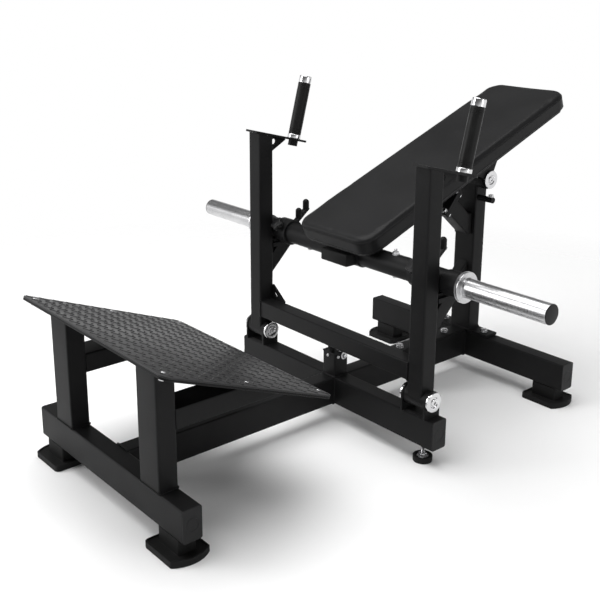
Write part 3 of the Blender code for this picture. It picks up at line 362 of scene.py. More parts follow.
def hex_bolt(place, direction, radius, high, washer=0.0, into=None):
    """A hexagon head with a chamfered top, standing on a washer."""
    where = facing(place, direction)
    shape = into
    if washer:
        rim = soft_edge(washer, 0.0010, washer - 0.0004, 0.0014, 2)
        shape = lathe([(0.0, 0.0), (washer, 0.0), *rim, (0.0, 0.0014)], where, 32, shape)
        where = where @ Matrix.Translation((0, 0, 0.0013))
    head = bmesh.new()
    bmesh.ops.create_cone(head, cap_ends=True, segments=6, radius1=radius, radius2=radius, depth=high,
                          matrix=Matrix.Translation((0, 0, high / 2)))
    top = [edge for edge in head.edges if all(vertex.co.z > high - 1e-6 for vertex in edge.verts)]
    bmesh.ops.bevel(head, geom=top, offset=radius * 0.12, segments=2, profile=0.5, affect="EDGES",
                    material=-1, clamp_overlap=True)
    bmesh.ops.transform(head, matrix=where, verts=head.verts[:])
    return join(shape, head)


def socket_cap(place, direction, radius, high, socket, into=None, count=40):
    """A round-edged cap or button head with a sunk hexagon socket in its middle."""
    depth = min(high * 0.55, 0.005)
    rounding = min(high * 0.55, radius * 0.3)
    rim = soft_edge(radius, high - rounding, radius - rounding, high, 5)
    shape = bmesh.new()
    profile = [(radius, 0.0), *rim, (socket * 1.25, high)]
    rings = [ring(shape, ring_radius, height, count) for ring_radius, height in profile]
    for first, second in zip(rings, rings[1:]):
        skin(shape, first, second)
    shape.faces.new(list(reversed(rings[0])))
    mouth, floor = [ring(shape, socket, height, 6) for height in (high, high - depth)]
    edges = [shape.edges.get((rings[-1][step], rings[-1][(step + 1) % count])) for step in range(count)]
    edges += [shape.edges.new((mouth[step], mouth[(step + 1) % 6])) for step in range(6)]
    bmesh.ops.triangle_fill(shape, edges=edges, use_beauty=True, normal=(0, 0, 1))
    skin(shape, mouth, floor)
    shape.faces.new(floor)
    bmesh.ops.recalc_face_normals(shape, faces=shape.faces[:])
    bmesh.ops.transform(shape, matrix=facing(place, direction), verts=shape.verts[:])
    return join(into, shape)


# ------------------------------------------------------------------ carried-over steelwork
def finish_node(name, finish, edge=0.0009, sharp=30.0):
    """Give a CAD node its finish, and round its arrises by a small bevel."""
    node = NODES[name]
    node.data.materials.clear()
    node.data.materials.append(finish)
    for face in node.data.polygons:
        face.use_smooth = True
    weld = node.modifiers.new("weld", "WELD")
    weld.merge_threshold = 0.00001
    bevel = node.modifiers.new("arris", "BEVEL")
    bevel.limit_method = "ANGLE"
    bevel.angle_limit = math.radians(sharp)
    bevel.width = edge
    bevel.segments = 2
    bevel.use_clamp_overlap = True
    bevel.harden_normals = False
    normal = node.modifiers.new("flats", "WEIGHTED_NORMAL")
    normal.keep_sharp = False
    normal.weight = 60
    return node


for name in sorted(NODES):
    if "bush" in name:
        finish_node(name, BRONZE, 0.0003)
    elif "plug" in name or "knob" in name:
        finish_node(name, PLASTIC, 0.0008)
    elif name == "foot_tread":
        finish_node(name, TREAD, 0.0012)
    elif name in ("pad_board", "pad_cushion"):
        finish_node(name, CLOTH, 0.003)
    elif any(word in name for word in ("foot_left", "foot_right", "bumper", "grip")):
        finish_node(name, RUBBER, 0.0010)
    elif any(word in name for word in ("shaft", "bolt", "rod", "sleeve")):
        finish_node(name, CHROME, 0.0004)
    else:
        finish_node(name, COAT, 0.0011)


# ------------------------------------------------------------------ places
SWING = Vector(JOINTS["swing_frame_pivot"]["pos_m"])
PIVOT = Vector(JOINTS["pad_pivot"]["pos_m"])
UPRIGHT_X = 0.3255
UPRIGHT_REAR = SWING.y + 0.025
SQUARE_TUBE = 0.050
FRAME_TUBE = 0.080           # height of the base's tubes
FRAME_LOW = 0.051            # underside of the base's tubes
BASE_BOLT_HIGH = 0.009       # height of the column's bolts over its base plate
GAP = 0.0003
BAR_RADIUS = 0.030
BAR = Vector((0.0, UPRIGHT_REAR + 0.0015 + BAR_RADIUS, 0.478))
DECK_SLOPE = math.radians(21.2)
DECK_WIDE, DECK_LONG, DECK_CORNER = 0.648, 0.493, 0.020
DECK_THICK, DECK_SHEET = 0.004, 0.005
PAD_TILT = math.radians(21.3)
PAD_WIDE, PAD_LONG = 0.281, 0.906
PAD_COVER = 0.052            # depth of the cover, which wraps the board's edge
BRACKET_SLOPE = math.radians(14.4)
BRACKET_HIGH = 0.772
HANDLE_REACH = 0.124         # from the upright's middle back to the handle

deck_low, deck_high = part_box("foot_tread")
DECK = (Matrix.Translation((0.0, deck_low.y + DECK_THICK * math.sin(DECK_SLOPE), deck_high.z))
        @ Matrix.Rotation(-DECK_SLOPE, 4, "X"))
pad_low, pad_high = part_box("pad_cushion")
PAD = (Matrix.Translation((0.0, pad_low.y, pad_high.z - PAD_LONG * math.sin(PAD_TILT)))
       @ Matrix.Rotation(PAD_TILT, 4, "X"))
BRACKET = Matrix.Translation((0.0, SWING.y, BRACKET_HIGH)) @ Matrix.Rotation(-BRACKET_SLOPE, 4, "X")
HANDLE = BRACKET @ Matrix.Translation((0.0, HANDLE_REACH / math.cos(BRACKET_SLOPE), GAP))


# ------------------------------------------------------------------ tread of the foot deck
def lens_lug(half_long, half_wide, high):
    """One raised lug of the tread: a lens in plan, with sloping sides and a flat crown."""
    sunk = 0.0004
    crown_long, crown_wide = 0.88, 0.40
    radius = (half_long ** 2 + half_wide ** 2) / (2 * half_wide)
    half_turn = math.asin(half_long / radius)
    quarter = math.pi / 2
    upper = arc(radius, (0.0, half_wide - radius), quarter + half_turn, quarter - half_turn, 6)
    lower = arc(radius, (0.0, radius - half_wide), half_turn - quarter, -half_turn - quarter, 6)
    rim = upper[:-1] + lower[:-1]
    lug = bmesh.new()
    base = [lug.verts.new((x, y, -sunk)) for x, y in rim]
    crown = [lug.verts.new((x * crown_long, y * crown_wide, high)) for x, y in rim]
    for index in range(len(rim)):
        lug.faces.new((base[index - 1], base[index], crown[index], crown[index - 1]))
    lug.faces.new(crown)
    lug.faces.new(list(reversed(base)))
    bmesh.ops.recalc_face_normals(lug, faces=lug.faces[:])
    mesh = bpy.data.meshes.new("lug")
    lug.to_mesh(mesh)
    lug.free()
    return mesh


def deck_outline():
    return rounded_rectangle(DECK_WIDE, DECK_LONG, DECK_CORNER, 8, (0.0, DECK_LONG / 2))


def tread_mat():
    """The mat with its lens-shaped lugs, laid alternately across each other."""
    columns, rows = 20, 13
    step_x, step_y = DECK_WIDE / columns, DECK_LONG / rows
    margin, round_screws = 0.013, 0.015
    shape = slab(deck_outline(), DECK_THICK, Matrix.Translation((0, 0, -DECK_THICK)), 0.0010)
    lug_mesh = lens_lug(0.0142, 0.0024, 0.0016)
    lugs = bmesh.new()
    screws = deck_screw_places()
    for row in range(2 * rows + 1):
        turn = math.radians(45 if row % 2 else -45)
        for column in range(columns + 1):
            x = -DECK_WIDE / 2 + (column + (row % 2) / 2) * step_x
            y = row * step_y / 2
            if abs(x) > DECK_WIDE / 2 - margin or not margin < y < DECK_LONG - margin:
                continue
            if any(math.hypot(x - screw_x, y - screw_y) < round_screws for screw_x, screw_y in screws):
                continue
            first = len(lugs.verts)
            lugs.from_mesh(lug_mesh)
            lugs.verts.ensure_lookup_table()
            bmesh.ops.transform(lugs, verts=lugs.verts[first:],
                                matrix=Matrix.Translation((x, y, 0.0)) @ Matrix.Rotation(turn, 4, "Z"))
    bpy.data.meshes.remove(lug_mesh)
    shape = join(shape, lugs)
    bmesh.ops.transform(shape, matrix=DECK, verts=shape.verts[:])
    add_piece("tread_mat", shape, "base", TREAD, ["foot_tread"], 40)


def deck_screw_places():
    """Three screws down each side of the deck, as (x, y) on it."""
    edge = 0.021
    across = DECK_WIDE / 2 - 0.033
    return [(x, y) for x in (-across, across) for y in (edge, DECK_LONG / 2, DECK_LONG - edge)]


def deck_plate():
    """The steel sheet under the mat, with the screws that hold the mat and their nuts."""
    low = -DECK_THICK - GAP - DECK_SHEET
    nut_gap = 0.0001
    sheet = slab(deck_outline(), DECK_SHEET, DECK @ Matrix.Translation((0, 0, low)), 0.0010)
    add_piece("deck_sheet", sheet, "base", COAT, ["foot_plate"])
    up = DECK.to_3x3() @ Vector((0, 0, 1))
    heads = None
    nuts = None
    for x, y in deck_screw_places():
        heads = socket_cap(DECK @ Vector((x, y, 0.0)), up, 0.0048, 0.0022, 0.0022, heads, 28)
        nuts = hex_bolt(DECK @ Vector((x, y, low - nut_gap)), -up, 0.0065, 0.0055, 0.0080, nuts)
    add_piece("deck_screws", heads, "base", ZINC)
    add_piece("deck_nuts", nuts, "base", ZINC)


# ------------------------------------------------------------------ weight bar
def weight_bar():
    """The coated bar, thicker at its middle and ends, with the block that the pad's nose rests on."""
    inner, thick_end, thick_middle = 0.027, 0.033, 0.034
    end, end_start, middle_end, groove = 0.3997, 0.3530, 0.0570, 0.0500
    half = [(inner, end), *reversed(soft_edge(thick_end, end - 0.0010, thick_end - 0.0010, end, 2)),
            (thick_end, end_start), (thick_end - 0.0008, end_start - 0.0010),
            (BAR_RADIUS, end_start - 0.0015), (BAR_RADIUS, middle_end),
            (BAR_RADIUS + 0.0010, middle_end - 0.0012),
            (thick_middle, middle_end - 0.0018), (thick_middle, groove)]
    profile = half + [(radius, -height) for radius, height in reversed(half)]
    bar = lathe(profile, Matrix.Translation(BAR) @ ALONG_X, 56)
    add_piece("weight_bar", bar, "swing_frame", COAT, ["crossbar"])
    block_long = 0.100
    across = Matrix(((0, 0, 1, 0), (1, 0, 0, 0), (0, 1, 0, 0), (0, 0, 0, 1)))
    block = slab(rounded_rectangle(0.046, 0.034, 0.005, 4, (-0.042, -0.006)), block_long,
                 Matrix.Translation(BAR - Vector((block_long / 2, 0, 0))) @ across, 0.0020)
    add_piece("pad_rest_block", block, "swing_frame", RUBBER)
    for side, sign in SIDES:
        plate_sleeve(side, Matrix.Translation(BAR) @ Matrix.Rotation(sign * math.pi / 2, 4, "Y"))


def plate_sleeve(side, where):
    """A bright sleeve for the plates with its grooved flange, and the plug in its mouth."""
    sleeve, bore, flange = 0.025, 0.0220, 0.040
    start, groove, face, end = 0.4000, 0.4055, 0.4122, 0.6544
    profile = [(0.0, start), (flange - 0.0015, start),
               *soft_edge(flange, start + 0.0045, flange - 0.0015, start + 0.0050, 2),
               (flange - 0.0035, groove), (flange - 0.0035, groove + 0.0013),
               (flange - 0.0012, groove + 0.0017),
               *soft_edge(flange, face - 0.0014, flange - 0.0015, face, 3), (sleeve + 0.0040, face),
               (sleeve + 0.0012, face + 0.0006), (sleeve, face + 0.0023), (sleeve, end - 0.0009),
               *soft_edge(sleeve, end - 0.0006, sleeve - 0.0006, end, 2),
               (bore, end), (bore, face + 0.0008), (0.0, face + 0.0008)]
    shape = lathe(profile, where, 64)
    add_piece("plate_sleeve_" + side, shape, "swing_frame", STEEL, ["weight_sleeve_" + side])
    stem, rim, foot, seat, top = 0.0216, 0.0249, 0.6400, 0.6546, 0.6569
    profile = [(0.0, foot), (stem, foot), (stem, seat), (rim, seat),
               *soft_edge(rim, top - 0.0011, rim - 0.0013, top, 3), (0.0, top)]
    add_piece("sleeve_plug_" + side, lathe(profile, where, 48), "swing_frame", PLASTIC)


# ------------------------------------------------------------------ pivots
PIN_RADIUS = 0.010
CHEEK = 0.006                # thickness of the plates at each end of a pivot tube
SWING_TUBE_HALF = 0.0355
PAD_TUBE_HALF = 0.0592


def capped_end(place, direction, radius, into):
    """A broad turned cap, dished a little, with the head of its socket screw in the middle."""
    where = facing(place, direction)
    thick, rounding = 0.007, 0.0028
    dish, sunk = 0.0125, 0.0034
    rim = soft_edge(radius, thick - rounding, radius - rounding, thick - 0.0004, 5)
    cap = lathe([(0.0, 0.0), (radius, 0.0), *rim, (dish + 0.0025, thick - 0.0012), (dish, thick - sunk),
                 (0.0, thick - sunk)], where, 64, into)
    head = where @ Vector((0, 0, thick - sunk - 0.0002))
    return socket_cap(head, direction, 0.0098, 0.0036, 0.0048, cap)


def capped_pin(middle, tube_half, cap_radius):
    """A pin along X, through its tube and a cheek plate at each end, with a cap on both ends."""
    reach = tube_half + GAP + CHEEK + GAP
    shaft = lathe([(0.0, -reach), (PIN_RADIUS, -reach), (PIN_RADIUS, reach), (0.0, reach)],
                  Matrix.Translation(middle) @ ALONG_X, 32)
    for _, hand in SIDES:
        shaft = capped_end(middle + Vector((hand * reach, 0, 0)), (hand, 0, 0), cap_radius, shaft)
    return shaft


def pivots():
    for side, sign in SIDES:
        shaft = capped_pin(Vector((sign * UPRIGHT_X, SWING.y, SWING.z)), SWING_TUBE_HALF, 0.027)
        add_piece("swing_pin_" + side, shaft, "base", CHROME, ["swing_shaft_" + side])
    add_piece("pad_pin", capped_pin(PIVOT, PAD_TUBE_HALF, 0.028), "pad", CHROME, ["pad_shaft"])


# ------------------------------------------------------------------ handles
def handle_rod(where, core, wide, long, collar):
    """A bright rod with a stub below, a collar under the grip and a cap above it."""
    stub, stub_long = 0.006, 0.0222
    collar_wide, cap = 0.020, 0.020
    top = collar + long + 2 * GAP
    profile = [(0.0, -stub_long), (stub, -stub_long), (stub, 0.0), (collar_wide - 0.0012, 0.0),
               (collar_wide, 0.0012),
               *soft_edge(collar_wide, collar - 0.0016, collar_wide - 0.0014, collar, 3),
               (core, collar), (core, top), (wide - 0.0006, top), (wide, top + 0.0008),
               *soft_edge(wide, top + cap - 0.0024, wide - 0.0024, top + cap, 4), (0.0, top + cap)]
    return lathe(profile, where, 56)


def grooved_grip(where, core, wide, long, start):
    """A rubber sleeve with three grooves near each end."""
    inner = core + GAP
    edge = 0.0015
    grooves, pitch, deep, margin = 3, 0.0042, 0.0006, 0.006
    profile = [(inner, start), *reversed(soft_edge(wide, start + edge, wide - edge, start, 3))]
    for first in (margin, long - margin - grooves * pitch):
        for index in range(grooves):
            low = start + first + index * pitch
            profile += [(wide, low), (wide - deep, low + deep), (wide - deep, low + 2 * deep),
                        (wide, low + 3 * deep)]
    profile += [*soft_edge(wide, start + long - edge, wide - edge, start + long, 3), (inner, start + long)]
    return lathe(profile, where, 56)


def handles():
    core, wide, long, collar = 0.013, 0.0185, 0.153, 0.012
    for side, sign in SIDES:
        where = Matrix.Translation((sign * UPRIGHT_X, 0, 0)) @ HANDLE
        rod = handle_rod(where, core, wide, long, collar)
        add_piece("handle_steel_" + side, rod, "swing_frame", CHROME, ["handle_rod_" + side])
        grip = grooved_grip(where, core, wide, long, collar + GAP)
        add_piece("grip_" + side, grip, "swing_frame", GRIP, ["handle_grip_" + side])


# ------------------------------------------------------------------ belt collars and their knobs
COLLAR_INNER, COLLAR_OUTER, COLLAR_HALF = BAR_RADIUS + 0.0005, BAR_RADIUS + 0.0070, 0.025
COLLAR_X = UPRIGHT_X - 0.0555
HOOK_RISE = math.radians(39)
PEG_STATIONS = (0.053, 0.089)
KNOB_TURN = Matrix.Rotation(math.radians(90 - 35), 4, "X")


def hook_collar(centre):
    """A turned collar with its sloping hook arm, two pegs and the boss for the clamp screw."""
    edge = 0.0012
    ends = soft_edge(COLLAR_OUTER, COLLAR_HALF - edge, COLLAR_OUTER - edge, COLLAR_HALF, 3)
    mirrored = [(radius, -height) for radius, height in reversed(ends)]
    profile = [(COLLAR_INNER, -COLLAR_HALF), *mirrored, *ends, (COLLAR_INNER, COLLAR_HALF)]
    shape = lathe(profile, centre @ ALONG_X, 64)
    arm_wide, arm_long, arm_thick, arm_middle = 0.016, 0.063, 0.010, 0.0665
    sloping = centre @ Matrix.Rotation(HOOK_RISE, 4, "X")
    arm = slab(rounded_rectangle(arm_wide, arm_long, 0.004, 4, (0.0, arm_middle)), arm_thick,
               sloping @ Matrix.Translation((0, 0, -arm_thick / 2)), edge)
    shape = join(shape, arm)
    peg, peg_high, peg_sunk = 0.0095, 0.0240, 0.0025
    for station in PEG_STATIONS:
        place = Vector((0, station * math.cos(HOOK_RISE), station * math.sin(HOOK_RISE) - peg_sunk))
        profile = [(0.0, 0.0), (peg, 0.0), *soft_edge(peg, peg_high, 0.0, peg_high + peg, 8)]
        shape = lathe(profile, centre @ Matrix.Translation(place), 32, shape)
    bore, boss = 0.0045, 0.011
    low, top = COLLAR_OUTER - 0.003, COLLAR_OUTER + 0.007
    profile = [(bore, low), (boss, low), *soft_edge(boss, top - 0.001, boss - 0.001, top, 2), (bore, top)]
    return lathe(profile, centre @ KNOB_TURN, 32, shape)


def star_knob(where):
    """A knob of five lobes with a low cap in its middle."""
    lobes, steps, reach, dip = 5, 60, 0.021, 0.14
    outline = []
    for step in range(steps):
        turn = 2 * math.pi * step / steps
        radius = reach * (1 - dip + dip * math.cos(lobes * turn))
        outline.append((radius * math.cos(turn), radius * math.sin(turn)))
    knob = slab(outline, 0.013, where, 0.0030, steps=4)
    cap, low, top = 0.0085, 0.0120, 0.0140
    profile = [(0.0, low), (cap, low), *soft_edge(cap, top - 0.0007, cap - 0.0007, top, 2), (0.0, top)]
    return lathe(profile, where, 32, knob)


def belt_collars():
    knob_low = COLLAR_OUTER + 0.0073
    for side, sign in SIDES:
        centre = Matrix.Translation(BAR + Vector((sign * COLLAR_X, 0, 0)))
        node, knob_node = "belt_collar_" + side, "clamp_knob_" + side
        add_piece("hook_collar_" + side, hook_collar(centre), node + "_body", COAT, [node])
        knob = star_knob(centre @ KNOB_TURN @ Matrix.Translation((0, 0, knob_low)))
        add_piece("star_knob_" + side, knob, knob_node + "_body", PLASTIC, [knob_node])
        screw = threaded(0.0040, 0.0010, BAR_RADIUS + GAP, knob_low + 0.001, centre @ KNOB_TURN)
        add_piece("knob_screw_" + side, screw, knob_node + "_body", ZINC)


def threaded(radius, pitch, low, high, matrix):
    """A threaded stud along Z, its thread as closely spaced ridges."""
    root = radius * 0.86
    profile = [(0.0, low), (root, low)]
    for index in range(int((high - low) / pitch)):
        start = low + index * pitch
        profile += [(root, start + pitch * 0.1), (radius, start + pitch * 0.5)]
    profile += [(root, high), (0.0, high)]
    return lathe(profile, matrix, 20)


# ------------------------------------------------------------------ screwed feet
def levelling_feet():
    """A dished rubber pad on a threaded stem, with its lock nut."""
    thick, rounding, dish, sunk = 0.0160, 0.0014, 0.0040, 0.0035
    for side, _ in SIDES:
        node = "levelling_foot_" + side
        low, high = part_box(node)
        middle = (low + high) / 2
        radius = (high.x - low.x) / 2
        where = Matrix.Translation((middle.x, middle.y, low.z))
        profile = [(0.0, 0.0), (radius - 0.002, 0.0),
                   *reversed(soft_edge(radius, 0.0015, radius - 0.0015, 0.0, 2)), (radius, thick - 0.0030),
                   *soft_edge(radius, thick - rounding, radius - rounding, thick, 3),
                   (radius - dish, thick), (radius - dish - 0.0012, thick - sunk), (0.0, thick - sunk)]
        add_piece("foot_pad_" + side, lathe(profile, where, 56), node + "_body", RUBBER, [node])
        stem = threaded(0.0050, 0.0015, 0.012, high.z - low.z, where)
        nut_place = (middle.x, middle.y, thick - sunk + 0.0001)
        stem = hex_bolt(nut_place, (0, 0, 1), 0.0105, 0.0075, 0.0150, stem)
        add_piece("foot_stem_" + side, stem, node + "_body", ZINC)


# ------------------------------------------------------------------ fasteners
def column_fasteners():
    """The four hexagon bolts that hold the column's base plate."""
    shank = 0.006
    for word in ("front", "middle", "left", "right"):
        node = "column_bolt_" + word
        low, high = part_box(node)
        place = Vector(((low.x + high.x) / 2, (low.y + high.y) / 2, high.z - BASE_BOLT_HIGH))
        bolt = hex_bolt(place, (0, 0, 1), 0.0110, 0.0070, 0.0118)
        bolt = lathe([(0.0, low.z), (shank, low.z), (shank, place.z), (0.0, place.z)],
                     Matrix.Translation((place.x, place.y, 0)), 24, bolt)
        add_piece("base_bolt_" + word, bolt, "base", ZINC, [node])


def stop_bolts():
    """Two screws, a bolt and a nut on the stop post, and a bolt near each end of the stop bar."""
    low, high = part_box("stop_post")
    middle = (low + high) / 2
    head, head_high, socket = 0.0045, 0.0030, 0.0020
    inset = 0.012
    front = (middle.x - 0.002, low.y, high.z - 0.011)
    shape = socket_cap(front, (0, -1, 0), head, head_high, socket, None, 24)
    flank = (high.x, low.y + inset, high.z - inset)
    shape = socket_cap(flank, (1, 0, 0), head, head_high, socket, shape, 24)
    rear = (high.x, high.y - 0.016, high.z - 0.013)
    shape = hex_bolt(rear, (1, 0, 0), 0.0070, 0.0060, 0.0110, shape)
    upper = (0.014, middle.y + 0.004, high.z)
    shape = hex_bolt(upper, (0, 0, 1), 0.0065, 0.0060, 0.0090, shape)
    stop_bar_x, stop_bar_ahead, stop_bar_top = 0.083, 0.012, 0.572
    for _, sign in SIDES:
        place = (sign * stop_bar_x, PIVOT.y - stop_bar_ahead, stop_bar_top)
        shape = hex_bolt(place, (0, 0, 1), 0.0075, 0.0065, 0.0090, shape)
    add_piece("stop_bolts", shape, "base", ZINC)


def bar_bolts():
    """A bolt on each arm behind the bar, and a domed nut above and a nut below each of the bar's studs."""
    saddle_high = 0.009
    arm_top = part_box("bar_arm_left")[1].z - saddle_high
    behind, stud_x, stud = 0.030, 0.170, 0.0045
    seat = BAR_RADIUS - 0.0008
    shape = None
    for _, sign in SIDES:
        place = (sign * UPRIGHT_X, BAR.y + behind, arm_top)
        shape = hex_bolt(place, (0, 0, 1), 0.0065, 0.0055, 0.0090, shape)
        middle = BAR + Vector((sign * stud_x, 0, 0))
        shape = hex_bolt(middle + Vector((0, 0, seat)), (0, 0, 1), 0.0085, 0.0070, 0.0105, shape)
        dome = [(0.0, 0.0), (stud, 0.0), *soft_edge(stud, 0.0035, 0.0, 0.0080, 4)]
        shape = lathe(dome, Matrix.Translation(middle + Vector((0, 0, seat + 0.0082))), 24, shape)
        shape = hex_bolt(middle - Vector((0, 0, seat)), (0, 0, -1), 0.0075, 0.0050, 0.0, shape)
    add_piece("bar_bolts", shape, "swing_frame", ZINC)


def flange_bolts():
    """Four bolts with their nuts through the pair of flanges that carry the pad's strut."""
    ahead, high, slope = 0.133, 0.564, math.radians(-131)
    half_pitch, half_thick = 0.034, 0.00815
    where = Matrix.Translation((0.0, PIVOT.y - ahead, high)) @ Matrix.Rotation(slope, 4, "X")
    axis = where.to_3x3() @ Vector((0, 0, 1))
    shape = None
    for x in (-half_pitch, half_pitch):
        for y in (-half_pitch, half_pitch):
            shape = hex_bolt(where @ Vector((x, y, -half_thick)), -axis, 0.0080, 0.0062, 0.0098, shape)
            shape = hex_bolt(where @ Vector((x, y, half_thick)), axis, 0.0080, 0.0070, 0.0098, shape)
    add_piece("flange_bolts", shape, "pad", ZINC)


def plug_rings():
    """The faint raised ring moulded in the face of each tube plug."""
    inner, outer, foot, top, slope = 0.0150, 0.0165, -0.0005, 0.0004, 0.0003
    profile = [(inner, foot), (outer, foot), (outer - slope, top), (inner + slope, top)]
    shape = None
    for row in ("front", "middle", "rear"):
        for side, sign in SIDES:
            low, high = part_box(row + "_tube_plug_" + side)
            face = high.x if sign > 0 else low.x
            where = facing((face, (low.y + high.y) / 2, (low.z + high.z) / 2), (sign, 0, 0))
            shape = lathe(profile, where, 48, shape)
    add_piece("plug_rings", shape, "base", PLASTIC)


# ------------------------------------------------------------------ welds
def weld_run(centre, across, up, wide, high, into, radius=0.0028):
    """A fillet bead round a rectangular tube's end, with the ripples of the weld."""
    off, corner, ripple = 0.001, 0.004, 0.0016
    across, up = Vector(across), Vector(up)
    outline = rounded_rectangle(wide + off, high + off, corner, 3)
    loop = [Vector(centre) + across * x + up * y for x, y in outline]
    path = []
    for index, point in enumerate(loop):
        after = loop[(index + 1) % len(loop)]
        pieces = max(1, round((after - point).length / ripple))
        path += [point.lerp(after, part / pieces) for part in range(pieces)]
    return sweep(path, lambda index: radius * (0.86 + 0.14 * math.cos(index * 2.1)), 6, into)


def middle_y(node):
    low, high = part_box(node)
    return (low.y + high.y) / 2


def welds():
    """The beads at the feet of the base's tubes, posts, stands and column, and on the swing frame."""
    flat = ((1, 0, 0), (0, 1, 0))
    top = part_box("front_cross_tube")[1].z
    shape = None
    for low, high in (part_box("front_spine_tube"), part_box("rear_spine_tube")):
        for y in (low.y, high.y):
            end = (0, y, (top + FRAME_LOW) / 2)
            shape = weld_run(end, (1, 0, 0), (0, 0, 1), SQUARE_TUBE, FRAME_TUBE, shape)
    support_x, stand_long = 0.198, 0.042
    for side, sign in SIDES:
        foot = (sign * support_x, middle_y("front_cross_tube"), top)
        shape = weld_run(foot, *flat, FRAME_TUBE, SQUARE_TUBE, shape)
        low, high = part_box("bearing_stand_" + side)
        shape = weld_run((sign * UPRIGHT_X, middle_y("middle_cross_tube"), top), *flat, high.x - low.x,
                         stand_long, shape, 0.0022)
    shape = weld_run((0, middle_y("stop_post"), top), *flat, SQUARE_TUBE, SQUARE_TUBE, shape)
    column_deep = 0.075
    plate_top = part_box("column_bolt_front")[1].z - BASE_BOLT_HIGH
    shape = weld_run((0, PIVOT.y, plate_top), *flat, column_deep, SQUARE_TUBE, shape)
    add_piece("base_welds", shape, "base", COAT, sharp=80)
    shape = None
    cross_member_z = 0.243
    for _, sign in SIDES:
        end = (sign * (UPRIGHT_X - SQUARE_TUBE / 2), SWING.y, cross_member_z)
        shape = weld_run(end, (0, 1, 0), (0, 0, 1), SQUARE_TUBE, SQUARE_TUBE, shape)
    add_piece("swing_welds", shape, "swing_frame", COAT, sharp=80)


# ------------------------------------------------------------------ the pad
def round_rim(shape, near, offset, segments):
    """Round the sharp edges of a slab whose ends all pass a test of their height."""
    rims = [edge for edge in shape.edges if edge.calc_face_angle(0.0) > math.radians(60)
            and all(near(vertex.co.z) for vertex in edge.verts)]
    bmesh.ops.bevel(shape, geom=rims, offset=offset, segments=segments, profile=0.5, affect="EDGES",
                    material=-1, clamp_overlap=True)


def cushion():
    """The stuffed cushion: a rounded block, evenly remeshed, whose top is crowned by cloth under pressure."""
    inset, crown = 0.0005, 0.0032
    top_drop = 0.003             # the block starts this far below the pad's top
    outline = rounded_rectangle(PAD_WIDE - 2 * inset, PAD_LONG - 2 * inset, 0.043, 10, (0.0, PAD_LONG / 2))
    shape = slab(outline, PAD_COVER - top_drop, Matrix.Translation((0, 0, -PAD_COVER)), 0.0)
    round_rim(shape, lambda z: z > -0.01, 0.010, 5)
    round_rim(shape, lambda z: z < -PAD_COVER + 1e-5, 0.007, 4)
    bmesh.ops.recalc_face_normals(shape, faces=shape.faces[:])
    mesh = bpy.data.meshes.new("back_cushion")
    shape.to_mesh(mesh)
    shape.free()
    piece = bpy.data.objects.new("back_cushion", mesh)
    bpy.context.collection.objects.link(piece)
    remesh = piece.modifiers.new("even_mesh", "REMESH")
    remesh.mode = "VOXEL"
    remesh.voxel_size = 0.005
    bake(piece)
    blow_up(piece, crown)
    ease = piece.modifiers.new("ease", "SMOOTH")
    ease.factor = 0.5
    ease.iterations = 3
    bake(piece)
    piece.data.transform(PAD)
    piece.data.materials.append(CLOTH)
    piece.data.shade_smooth()
    finer = piece.modifiers.new("finer", "SUBSURF")
    finer.levels = 1
    finer.render_levels = 1
    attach(piece, "pad")
    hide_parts("pad_cushion")
    return piece


def bake(piece):
    """Apply a piece's modifiers to its mesh."""
    bpy.context.view_layer.update()
    graph = bpy.context.evaluated_depsgraph_get()
    mesh = bpy.data.meshes.new_from_object(piece.evaluated_get(graph))
    piece.modifiers.clear()
    piece.data = mesh


def blow_up(piece, most):
    """Inflate the cover as cloth and keep its crown: the rise of its top, never more than most."""
    start = [vertex.co.copy() for vertex in piece.data.vertices]
    frames, fade = 20, 0.020     # the rise fades to nothing this far below the pad's top
    cloth = piece.modifiers.new("cover", "CLOTH").settings
    cloth.use_pressure = True
    cloth.uniform_pressure_force = 4.0
    cloth.effector_weights.gravity = 0.0
    cloth.tension_stiffness = 30.0
    cloth.compression_stiffness = 30.0
    cloth.quality = 6
    scene = bpy.context.scene
    for number in range(1, frames + 1):
        scene.frame_set(number)
    bake(piece)
    scene.frame_set(1)
    for vertex, rest in zip(piece.data.vertices, start):
        share = min(1.0, max(0.0, 1.0 + rest.z / fade))
        rise = min(max(vertex.co.z - rest.z, 0.0), most)
        vertex.co = rest + Vector((0.0, 0.0, rise * share))


def seam_points(height):
    """Evenly spaced points round the pad, at one height."""
    spacing, corner = 0.006, 0.045
    outline = rounded_rectangle(PAD_WIDE, PAD_LONG, corner, 10, (0.0, PAD_LONG / 2))
    loop = [Vector((x, y, height)) for x, y in outline]
    points = []
    for index, point in enumerate(loop):
        after = loop[(index + 1) % len(loop)]
        pieces = max(1, round((after - point).length / spacing))
        points += [point.lerp(after, part / pieces) for part in range(pieces)]
    return points


def piping(cushion_piece):
    """Thin sewn seams round the top and foot of the cushion's side, lying on its surface."""
    proud = 0.25                 # share of a seam's radius that its middle stands off the cover
    graph = bpy.context.evaluated_depsgraph_get()
    evaluated = cushion_piece.evaluated_get(graph)
    mesh = evaluated.to_mesh()
    tree = BVHTree.FromPolygons([vertex.co.copy() for vertex in mesh.vertices],
                                [tuple(face.vertices) for face in mesh.polygons])
    evaluated.to_mesh_clear()
    for name, height, radius in (("upper_seam", -0.0120, 0.0010), ("second_seam", -0.0148, 0.0007),
                                 ("lower_seam", -0.0450, 0.0008)):
        path = []
        for point in seam_points(height):
            spot, normal, _, _ = tree.find_nearest(PAD @ point)
            path.append(spot + normal * radius * proud)
        add_piece(name, sweep(path, radius), "pad", CLOTH, sharp=80)


